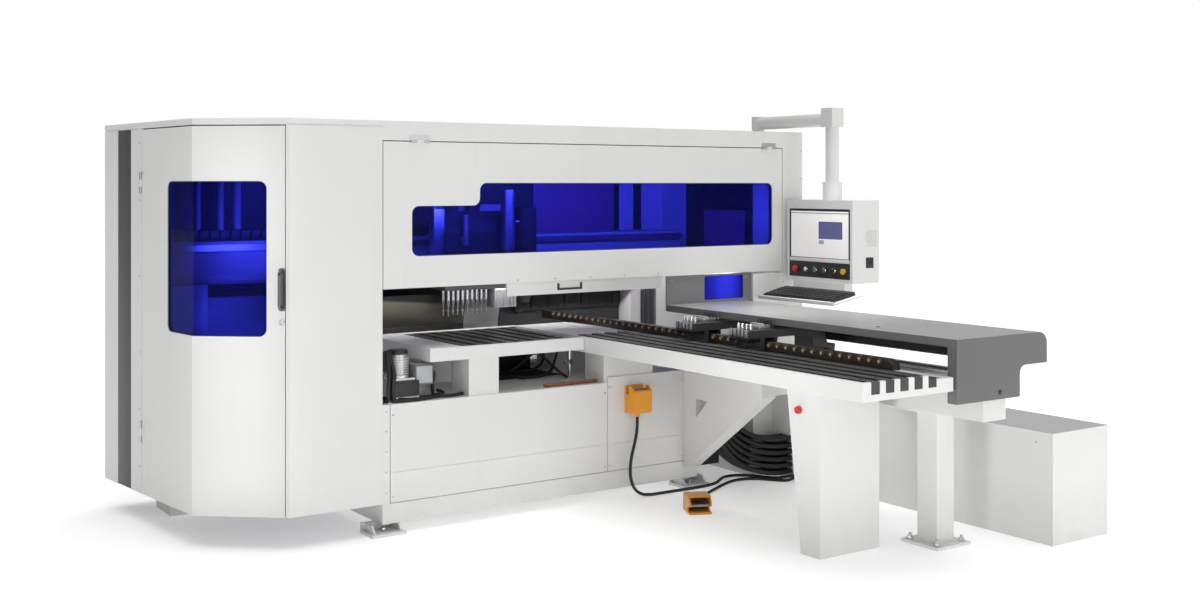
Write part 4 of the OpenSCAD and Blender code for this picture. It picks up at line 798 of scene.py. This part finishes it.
for name, y in (("clamp_a", -420.0), ("clamp_b", -880.0)):
    blocks(name + "_valve_block", name, aluminium, "aluminium",
           ((1714, y - 46, 1023), (1788, y + 46, 1046), 2.0), ((1722, y - 40, 1046), (1752, y + 40, 1054), 1.5))
    bm = bmesh.new()
    for step in PORTS:
        turned(bm, (1770, y + step, 1045.5), UP, FITTING, 12)
    piece(bm, name + "_fittings", name, black_plastic)
    tubes = [[(1770, y + a, 1058), (1776, y + a, 1068), (1790, y + a * 1.2, 1066), (1800, y + a * 1.5, 1050),
              (1803, y + a * 1.7, 1030), (1803, y + a * 1.8, 1016)] for a in PORTS]
    lines(name + "_air_tubes", tubes, 3.5, name, rubber)
    bm = bmesh.new()
    for share in (0.18, 0.39, 0.61, 0.82):
        top = touch(name + "_jaw", (1652, y - 75 + 150 * share, 1200), DOWN)
        turned(bm, (top[0], top[1], top[2] - 0.5), UP, cap(7.4, 4, 5, 6), 12)
    piece(bm, name + "_rod_caps", name + "_jaw", steel)
    bm = bmesh.new()
    for step in range(5):
        face = touch(name, (1400, y - 60 + 30 * step, 1011), RIGHT)
        block(bm, (face[0] - 6, face[1] - 9, 992), (face[0] + 0.5, face[1] + 9, 1030), 1.5)
    piece(bm, name + "_finger_plates", name, aluminium)
    blocks(name + "_wiper", name, mat_rubber, "black_plastic", ((1806, y - 72, 934), (1812, y + 72, 992), 1.0))

# %% [markdown]
# ## Side drive and its cables
# Left of the table stands a small feed motor on a box. Its cables drop behind the corner strip and lie on
# the bed in loose loops. The motor has cooling ribs round its case and a dark cap. The ribs are rings: a
# turned shape whose outline is closed and stays off the axis.

# %% Side drive
MOTOR = (145, 120)
bm = bmesh.new()
for i in range(7):
    turned(bm, (*MOTOR, 800 + 13 * i), UP, [(46, 0), (56, 0), (56, 4), (46, 4), (46, 0)], 24)
piece(bm, "motor_ribs", "base", white_plastic)
bm = bmesh.new()
turned(bm, (*MOTOR, 901), UP, [(0, 0), (50, 0), (52, 3), (52, 18), (46, 24), (0, 24)], 24)
block(bm, (70, 22, 690), (220, 31, 772), 3.0)
piece(bm, "motor_cap", "base", black_plastic)
blocks("drive_box", "base", grey_paint, "grey_paint",
       ((204, 44, 740), (312, 140, 848), 4.0), ((238, 70, 662), (278, 110, 742), 2.0))
blocks("drive_box_lid", "base", beam_paint, "beam_paint", ((212, 40, 750), (304, 45, 838), 2.0))

# %% Cables of the side drive
dropping = [[(48 + 10 * i, 30 + 9 * (i % 3), 668), (44 + 9 * i, 28 + 8 * (i % 3), 740),
             (52 + 8 * i, 30 + 9 * (i % 3), 810), (50 + 9 * i, 48 + 6 * i, 870), (58 + 8 * i, 80 + 6 * i, 925)]
            for i in range(5)]
from_box = [[(312, 90 + 14 * i, 790), (330, 90 + 14 * i, 800), (345 + 6 * i, 100 + 14 * i, 770),
             (340 + 8 * i, 110 + 16 * i, 715), (350 + 10 * i, 120 + 20 * i, 672)] for i in range(3)]
lying = [[(30, 58, 672), (70, 34, 672), (150, 22, 672), (250, 30, 672), (340, 60, 672), (430, 52, 672),
          (500, 70, 672)],
         [(40, 90, 684), (90, 60, 682), (170, 44, 672), (260, 62, 672), (350, 96, 672), (420, 140, 672),
          (440, 240, 672)]]
lines("drive_cables", dropping + from_box + lying, CABLE_R, "base", rubber)

# %% [markdown]
# ## Under the front table
# The bed below the front table is open. It holds a dark chip mat, a screen plate at the back, air hoses
# in loops and a bright drop pipe with its valve. Chips and off-cuts fall here, so the hoses are kept to
# the right side.

# %% Under the front table


def rod(bm, a, b, r, sides=16):
    """A round or, with few sides, a faceted bar between two points."""
    p, q = at(*a), at(*b)
    bmesh.ops.create_cone(bm, cap_ends=True, segments=sides, radius1=r / MM, radius2=r / MM,
                          depth=(q - p).length, matrix=Matrix.Translation((p + q) / 2.0) @ aim(q - p))


blocks("chip_mat", "base", mat_rubber, "black_plastic",
       ((692, 430, 661.8), (1358, 790, 664.5), 0.8), ((692, 776, 664), (1358, 780, 842), 0.8))
lines("bed_hoses",
      [[(1010, 640, 672), (1060, 560, 680), (1120, 500, 730), (1180, 470, 790), (1240, 470, 800),
        (1280, 500, 760), (1260, 540, 700), (1200, 560, 684), (1120, 600, 676)],
       [(1290, 262, 672), (1280, 310, 690), (1250, 380, 740), (1200, 420, 800), (1160, 450, 838)],
       [(1330, 420, 830), (1310, 420, 760), (1270, 400, 700), (1200, 380, 674), (1120, 372, 672),
        (1040, 384, 672)]], 8.0, "base", rubber)
bm = bmesh.new()
rod(bm, (1336, 306, 662), (1336, 306, 843), 11.0)
turned(bm, (1336, 306, 740), UP, [(11, 0), (17, 0), (17, 26), (11, 26)], 6)
rod(bm, (1336, 306, 753), (1299, 306, 753), 6.0)
piece(bm, "drop_pipe", "base", chrome)
bm = bmesh.new()
rod(bm, (1000, 52, 672), (1352, 52, 672), 9.0)
for x in (1020, 1180, 1340):
    rod(bm, (x - 8, 52, 672), (x + 8, 52, 672), 12.0, 6)
piece(bm, "copper_pipe", "base", copper)

# %% [markdown]
# ## Energy chain, bits and air pipes
# An energy chain lies on the cross beam and feeds the drill head. A link is two side plates and a bridge
# with rounded edges, and a row of links makes the chain. Each spindle of the head ends in a drill bit,
# every third one longer, and bright air pipes stand between two rails at the head's side.

# %% Energy chain, bits and air pipes
chain = []
for x in range(-690, 871, 60):
    chain += [((x, 1120, 1470.5), (x + 54, 1134, 1528), 3.0), ((x, 1186, 1470.5), (x + 54, 1200, 1528), 3.0),
              ((x + 10, 1132, 1514), (x + 44, 1188, 1522), 2.0)]
blocks("energy_chain", "base", black_plastic, "black_plastic", *chain)
bm = bmesh.new()
for i in range(9):
    tip = 26 if i % 3 else 34
    for y in (835, 899):
        turned(bm, (825 + 32 * i, y, 1032), DOWN,
               [(0, -2), (7.5, -2), (7.5, 3), (3.5, 5), (3.5, tip - 4), (0, tip)], 10)
piece(bm, "drill_bits", "upper_head", steel)
bm = bmesh.new()
for x in (1276, 1288, 1300, 1312):
    rod(bm, (x, 800, 1150), (x, 800, 1560), 4.0)
block(bm, (1262, 792, 1152), (1338, 812, 1172), 2.0)
block(bm, (1262, 792, 1540), (1338, 812, 1562), 2.0)
piece(bm, "head_air_pipes", "upper_head", chrome)

# %% [markdown]
# ## Lining of the inside
# Through the panes one sees lining plates on the inner walls, conduits in the bay and a curtain of rubber
# strips under the beam that stops chips. They give the tinted panes something to show. The strips lie in
# two layers, so every other one stands a little further back. Dark channels run up a column, a black sheet
# behind the air hoses is painted shade, and plates close the gaps beside the rear columns.

# %% Lining of the inside
blocks("end_lining_plate", "base", white_paint, "white_paint", ((2840, 235, 1300), (2851, 425, 2060), 3.0))
blocks("inner_lining_plates", "base", lining_paint, "dark_paint",
       ((2840, 512, 1375), (2851, 928, 1610), 3.0), ((1770, 1408, 1290), (2429, 1421, 2060), 3.0))
blocks("inner_channel", "base", dark_paint, "dark_paint", ((2601, 1404, 1290), (2661, 1421, 2060), 3.0))
blocks("column_channels", "base", stripe_paint, "grey_paint",
       *[((2458, y, 700), (2476, y + 45, 1235.5), 3.0) for y in (985, 1040, 1095)])
# A black sheet behind the air hoses, as painted shade.
blocks("hose_shade_sheet", "base", black_plastic, "black_plastic",
       ((2037.5, 210, 60), (2380, 216, 655), 2.0), ((2037.5, 200, 60), (2044, 216, 655), 1.0))
strips = [(1620 + 65.5 * i, 1392 + 4 * (i % 2), 1682 + 65.5 * i) for i in range(13)]
blocks("strip_curtain", "base", mat_rubber, "black_plastic", ((1618, 1388, 1262), (2472, 1421, 1286), 2.0),
       *[((left, y, 948), (right, y + 3, 1266), 1.0) for left, y, right in strips])
bm = bmesh.new()
for x, r in ((-540, 16.0), (-414, 22.0), (-318, 26.0)):
    rod(bm, (x, 1240, 1469.5), (x, 1240, 2074), r)
    turned(bm, (x, 1240, 1469.5), UP, [(0, 0), (r + 12, 0), (r + 12, 10), (0, 10)])
piece(bm, "bay_conduits", "base", beam_paint)
blocks("bay_back_plate", "base", beam_paint, "beam_paint", ((-470, 1407, 860), (-60, 1421.5, 1132), 3.0))
blocks("rear_gap_plates", "base", white_paint, "white_paint",
       *[((x, 1268, 100), (x + 6, 1421.5, 1234), 1.5) for x in (2478, 2866)])

# %% [markdown]
# ## Drill head
# The head carries air cylinders that push the spindles down, a row of valves and a ribbed dust shroud
# round the router. They are rods and blocks, most of bare aluminium, and they travel with the head.

# %% Drill head
bm = bmesh.new()
rod(bm, (1178, 742, 1390), (1178, 742, 1750), 42.0, 28)
rod(bm, (1178, 742, 1300), (1178, 742, 1392), 18.0, 20)
for z in (1400, 1600):
    block(bm, (1150, 742, z), (1206, 792, z + 40), 2.0)
block(bm, (712, 800, 1330), (781, 862, 1640), 3.0)
rod(bm, (905, 770, 1420), (905, 770, 1600), 18.0, 20)
block(bm, (880, 768, 1440), (930, 791, 1470), 2.0)
piece(bm, "head_cylinders", "upper_head", aluminium)
bm = bmesh.new()
for i in range(6):
    block(bm, (812 + 58 * i, 768, 1230), (856 + 58 * i, 791, 1340), 3.0)
for i in range(5):
    rod(bm, (834 + 58 * i, 779, 1338), (834 + 58 * i, 779, 1372), 8.0, 12)
piece(bm, "head_valves", "upper_head", beam_paint)
blocks("dust_shroud", "upper_head", aluminium, "aluminium", ((1112, 786, 1040), (1268, 900, 1157), 8.0, 3),
       *[((1122 + 25 * i, 781, 1050), (1136 + 25 * i, 787, 1150), 2.0) for i in range(6)])

# %% [markdown]
# ## Screen
# The operator's panel has a bright screen with plain colour fields. The fields are thin plates that give
# off a little light of their own, so that the screen reads as switched on in any light.

# %% Screen


def lit(name, colour, strength):
    f = Finish(name)
    tone = f.mottle(f.noise(30.0, 2.0), colour, 0.97)
    return f.finish(f.surface(Base_Color=tone, Roughness=0.25, Emission_Color=tone, Emission_Strength=strength))


screen_light = lit("screen_light", (0.80, 0.79, 0.76), 0.35)
violet_light = lit("screen_violet", (0.13, 0.13, 0.30), 0.20)
grey_light = lit("screen_grey", (0.36, 0.35, 0.40), 0.20)
blocks("screen", "pendant", screen_light, "panel_plastic", ((2732.8, -551, 1341), (2735.2, -59, 1621), 0.4))
blocks("screen_field", "pendant", violet_light, "panel_plastic", ((2732.2, -501, 1455), (2733.0, -301, 1559)))
blocks("screen_bar", "pendant", grey_light, "panel_plastic",
       ((2732.2, -345, 1424), (2733.0, -303, 1447)), ((2732.2, -551, 1606), (2733.0, -59, 1612)))
blocks("panel_bar", "pendant", white_plastic, "white_paint", ((2729.5, -560, 1315), (2732.4, -50, 1337), 1.2))

# %% [markdown]
# ## Buttons and keyboard
# Under the screen is a row of push buttons in chrome collars, and on the box's side a port with two
# sockets. The keyboard lies on a tilted tray. A key is a low block with rounded edges: each is made level
# and then turned with the tray.

# %% Buttons
BUTTONS = (("green_buttons", green_plastic, (-270, -350)), ("white_buttons", white_plastic, (-190,)),
           ("dark_buttons", black_plastic, (-430,)))
BUTTON_X, BUTTON_Z = 2732, 1267.5
bm = bmesh.new()
for y in (-190, -270, -350, -430):
    turned(bm, (BUTTON_X, y, BUTTON_Z), LEFT,
           [(0, -1), (16, -1), (16, 3), (13, 5), (11.5, 5), (11.5, 3), (0, 3)])
piece(bm, "button_collars", "pendant", chrome)
for name, finish, places in BUTTONS:
    bm = bmesh.new()
    for y in places:
        turned(bm, (BUTTON_X, y, BUTTON_Z), LEFT, cap(11, 8, 9, 10))
    piece(bm, name, "pendant", finish)
bm = bmesh.new()
block(bm, (2844, -584.6, 1288), (2906, -580, 1350), 2.0)
for x in (2860, 2890):
    turned(bm, (x, -584, 1319), FRONT, [(0, 0), (8, 0), (8, 3), (5, 3), (5, 1), (0, 1)], 12)
piece(bm, "port_insert", "pendant", black_plastic)

# %% Keyboard
KEY = Matrix.Diagonal((0.025, 0.031, 0.007, 1.0))
TRAY_TILT = math.radians(-11.0)
tray = Matrix.Translation(at(2732, -345, 1133)) @ Matrix.Rotation(TRAY_TILT, 4, "Y")
bm = bmesh.new()
for row in range(5):
    for k in range(16):
        x, y = -200 + 30 * row, -268 + 35.7 * k
        top = 26.6 + (x + 220) * 6.0 / 190.0
        place = tray @ Matrix.Translation(Vector((x, y, top + 2.0)) / MM)
        made = bmesh.ops.create_cube(bm, size=1.0, matrix=place @ KEY)
        round_edges(bm, made["verts"], 2.0, 1)
piece(bm, "keys", "pendant", black_plastic)

# %% [markdown]
# ## Fixings
# Covers are screwed on, the post and the bed are bolted to the floor, and blind plugs close unused holes.
# A table says on which solid the screws sit, which way the line to it goes, how big they are and where
# the lines start.

# %% Cover screws
COVER_SCREWS = (
    ("front_apron", BACK, 5.0, [(x, -60, z) for x in (59, 1376) for z in (190, 607)]),
    ("right_apron", BACK, 5.0, [(x, -60, z) for x in (1408, 1924) for z in (190, 637)]),
    ("bed", BACK, 5.5, [(22, -60, z) for z in (628, 528, 425, 320, 215)]),
    ("right_end_panel", BACK, 5.0, [(2866, -60, z) for z in (1310, 1480, 1650, 1820, 1990)]),
    ("beam_columns", BACK, 6.0, [(2718, -60, z) for z in (300, 620, 940, 1180)]),
    ("cabinet", RIGHT, 6.0, [(2400, y, 500) for y in (-1960, -1400, -800, -200)]),
    ("beam_cover", DOWN, 7.0, [(2300, y, 1300) for y in (-1990, -1500, -1000, -500, -60)]),
    ("cover_riser", BACK, 6.0, [(x, -100, z) for x in (1860, 2430) for z in (1060, 1220)]),
    ("side_panel", (SIDE_IN.x, SIDE_IN.y, 0), 5.0,
     [(*bay(-650.0, -60.0), z) for z in (300, 600, 900, 1300, 1700, 2000)]),
)
bm = bmesh.new()
for node, direction, r, starts in COVER_SCREWS:
    for start in starts:
        screw(bm, node, start, direction, r)
piece(bm, "cover_screws", "base", steel)

# %% Floor nuts and blind plugs


def nut(bm, foot, r):
    """A hexagon nut on its washer."""
    x, y, z = foot
    turned(bm, foot, UP, [(0, -0.5), (r + 4, -0.5), (r + 4, 3), (0, 3)])
    turned(bm, (x, y, z + 3), UP, cap(r, 10, r - 2, 13, -0.5), 6)


bm = bmesh.new()
for x in (2122, 2298):
    for y in (-1768, -1592):
        nut(bm, (x, y, 16), 15)
        rod(bm, (x, y, 31), (x, y, 46), 7.5)
for x in (25, 2013):
    for y in (50, 1302):
        nut(bm, touch("anchor_feet", (x, y, 40), DOWN), 16)
piece(bm, "floor_nuts", "base", steel)
bm = bmesh.new()
turned(bm, touch("beam_cover", (1938, -1553, 1300), DOWN), UP, cap(11, 1, 8, 2.5, -1))
turned(bm, touch("cover_end_cap", (2119, -2400, 817), BACK), FRONT, cap(12, 1.5, 8, 3, -1))
piece(bm, "blind_plugs", "base", black_plastic)

# %% [markdown]
# ## Back, right side and roof
# These sides aren't seen in the picture but a buyer walks round the machine. The rear cover has removable
# service panels with louvres, a collar for the dust hose and turn locks; the right end has a louvred
# plate; the roof has four plugs over its lifting threads. A louvre is a small block, and a plug is a low
# disc made by spinning.

# %% Service panels and louvres
PANEL_LEFTS = (-700, 120, 1180, 2000)
blocks("service_panels", "base", white_paint, "white_paint",
       *[((left, 1449, 1300), (left + 620, 1453, 2020), 1.5) for left in PANEL_LEFTS],
       *[((left, 1311, 200), (left + 780, 1315, 600), 1.5) for left in (150, 1000)],
       ((2879, 250, 1300), (2883, 1180, 1990), 1.5))
blocks("louvres", "base", grey_paint, "grey_paint",
       *[((left + 110, 1452, 1380 + 26 * i), (left + 510, 1457, 1390 + 26 * i), 2.0)
         for left in (-700, 2000) for i in range(12)],
       *[((2882, 420, 1400 + 28 * i), (2887, 1010, 1411 + 28 * i), 2.0) for i in range(14)])

# %% Dust collar, locks and plugs
LOCK = cap(13, 3, 10, 6)
bm = bmesh.new()
turned(bm, (900, 1448, 1760), BACK,
       [(76, 0), (105, 0), (105, 5), (84, 7), (84, 60), (88, 63), (88, 68), (76, 68), (76, 0)], 40)
for left in PANEL_LEFTS:
    for x, z in ((30, 1340), (590, 1340), (30, 1980), (590, 1980)):
        turned(bm, (left + x, 1452, z), BACK, LOCK)
for y, z in ((290, 1340), (1140, 1340), (290, 1950), (1140, 1950)):
    turned(bm, (2882.5, y, z), RIGHT, LOCK)
piece(bm, "dust_collar_and_locks", "base", steel)
bm = bmesh.new()
for x in (-500, 2500):
    for y in (250, 1250):
        turned(bm, touch("roof", (x, y, 2400), DOWN), UP, cap(24, 3, 18, 6, -1))
piece(bm, "lifting_plugs", "base", white_plastic)

# %% [markdown]
# ## Pedal treads
# A shoe needs grip, so the floor pedal's treadle carries rubber ribs across its face. The treadle is
# tilted, so both ends of a rib are found by shooting a line at it.

# %% Pedal treads
TREADLE = Vector((1640.0, -500.0))
turn = math.radians(-25.0)
wide, deep = Vector((math.cos(turn), math.sin(turn))), Vector((-math.sin(turn), math.cos(turn)))
bm = bmesh.new()
for i in range(5):
    middle = TREADLE + deep * (-48.0 + 16.0 * i)
    ends = [touch("floor_treadle", (*(middle + wide * s), 200), DOWN) for s in (-34.0, 34.0)]
    rod(bm, *ends, 2.2, 8)
piece(bm, "floor_treads", "floor_treadle", rubber)

# %% [markdown]
# ## Floor and room
# The machine stands on a plain pale floor in a bright room. The room is white to the camera, but for the
# light that falls on the machine it is dim on the left and brighter on the right, as in a studio with one
# open side.

# %% Floor and room
ROOM_LEFT, ROOM_RIGHT, ROOM_SEEN = 0.06, 0.66, 1.0
ground = bmesh.new()
bmesh.ops.create_grid(ground, x_segments=1, y_segments=1, size=40.0)
ground_mesh = bpy.data.meshes.new("floor")
ground.to_mesh(ground_mesh)
ground.free()
floor = bpy.data.objects.new("floor", ground_mesh)
scene.collection.objects.link(floor)
f = Finish("pale_floor")
floor.data.materials.append(f.finish(f.surface(Base_Color=(0.95, 0.95, 0.95, 1.0), Roughness=0.9,
                                               Emission_Color=(1.0, 1.0, 1.0, 1.0), Emission_Strength=0.30)))

room = bpy.data.worlds.new("room")
scene.world = room
room.use_nodes = True
g = Graph(room.node_tree)
across = g.node("ShaderNodeSeparateXYZ", {}, {0: g.node("ShaderNodeTexCoord", out="Generated")}, out="X")
side = g.fade(across, -1.0, 1.0, ROOM_LEFT, ROOM_RIGHT)
glow = g.fade(g.node("ShaderNodeLightPath", out="Is Camera Ray"), 0.0, 1.0, side, ROOM_SEEN)
walls = g.tree.nodes["Background"]
walls.inputs["Color"].default_value = (1.0, 1.0, 1.0, 1.0)
g.tree.links.new(glow.socket, walls.inputs["Strength"])
scene.view_settings.view_transform = "Standard"
print("floor and room ready")

# %% [markdown]
# ## Lamps
# A large soft key stands at the front left and a weaker fill at the front right. Narrow soft lamps lift
# single faces: the slanted door, the light sides of the tables and the top of the grey cover. Small lamps
# hang inside the hood, the bay, the end and behind the riser, as the work lights do, so that the panes
# show some depth. A lamp isn't seen by the camera, so that it can hang in the picture. The ceiling glows
# evenly from above.

# %% Lamps


def lamp(name, place, towards, size, power, spread=180.0):
    """A soft rectangular lamp, aimed at a point."""
    data = bpy.data.lights.new(name, "AREA")
    data.shape = "RECTANGLE"
    data.size, data.size_y = size
    data.energy = power
    data.spread = math.radians(spread)
    made = bpy.data.objects.new(name, data)
    scene.collection.objects.link(made)
    made.visible_camera = False
    made.location = place
    made.rotation_euler = (Vector(towards) - Vector(place)).to_track_quat("-Z", "Y").to_euler()


slant_face = at(*bay(246.0), 1100)
slant_place = slant_face - 2.5 * Vector((*SLANT_IN, 0.0))
lamp("key_lamp", (-4.6, -8.3, 4.5), (0.0, 0.0, 1.0), (5.0, 4.0), 145.0)
lamp("hood_lamp", at(1300, 90, 1900), at(1300, 1420, 1800), (2.5, 0.1), 52.0, 140.0)
lamp("riser_lamp", at(2230, 190, 1200), at(2475, 300, 1140), (0.1, 0.1), 0.8, 100.0)
lamp("fill_lamp", (3.0, -9.0, 1.2), (1.4, -1.0, 0.5), (4.0, 2.0), 8.0, 40.0)
lamp("bay_lamp", at(-330, 520, 1500), at(-330, 1420, 1420), (0.3, 0.3), 1.5, 60.0)
lamp("slant_lamp", slant_place, slant_face, (0.45, 1.9), 0.7, 16.0)
lamp("bay_low_lamp", at(-600, 500, 1150), at(-290, 1400, 1020), (0.1, 0.1), 0.7, 44.0)
lamp("table_lamp", (-5.5, -2.6, 1.0), (1.0, -1.0, 0.9), (1.5, 1.2), 2.5, 20.0)
lamp("cover_lamp", at(2150, -640, 3200), at(2150, -600, 1000), (1.0, 0.6), 4.2, 44.0)
lamp("end_lamp", at(2560, 300, 1900), at(2845, 330, 1500), (0.2, 0.2), 0.65, 50.0)
sky = bpy.data.lights.new("ceiling_glow", "SUN")
sky.energy = 1.5
sky.angle = math.radians(60.0)
scene.collection.objects.link(bpy.data.objects.new("ceiling_glow", sky))
print("lamps", len(bpy.data.lights))
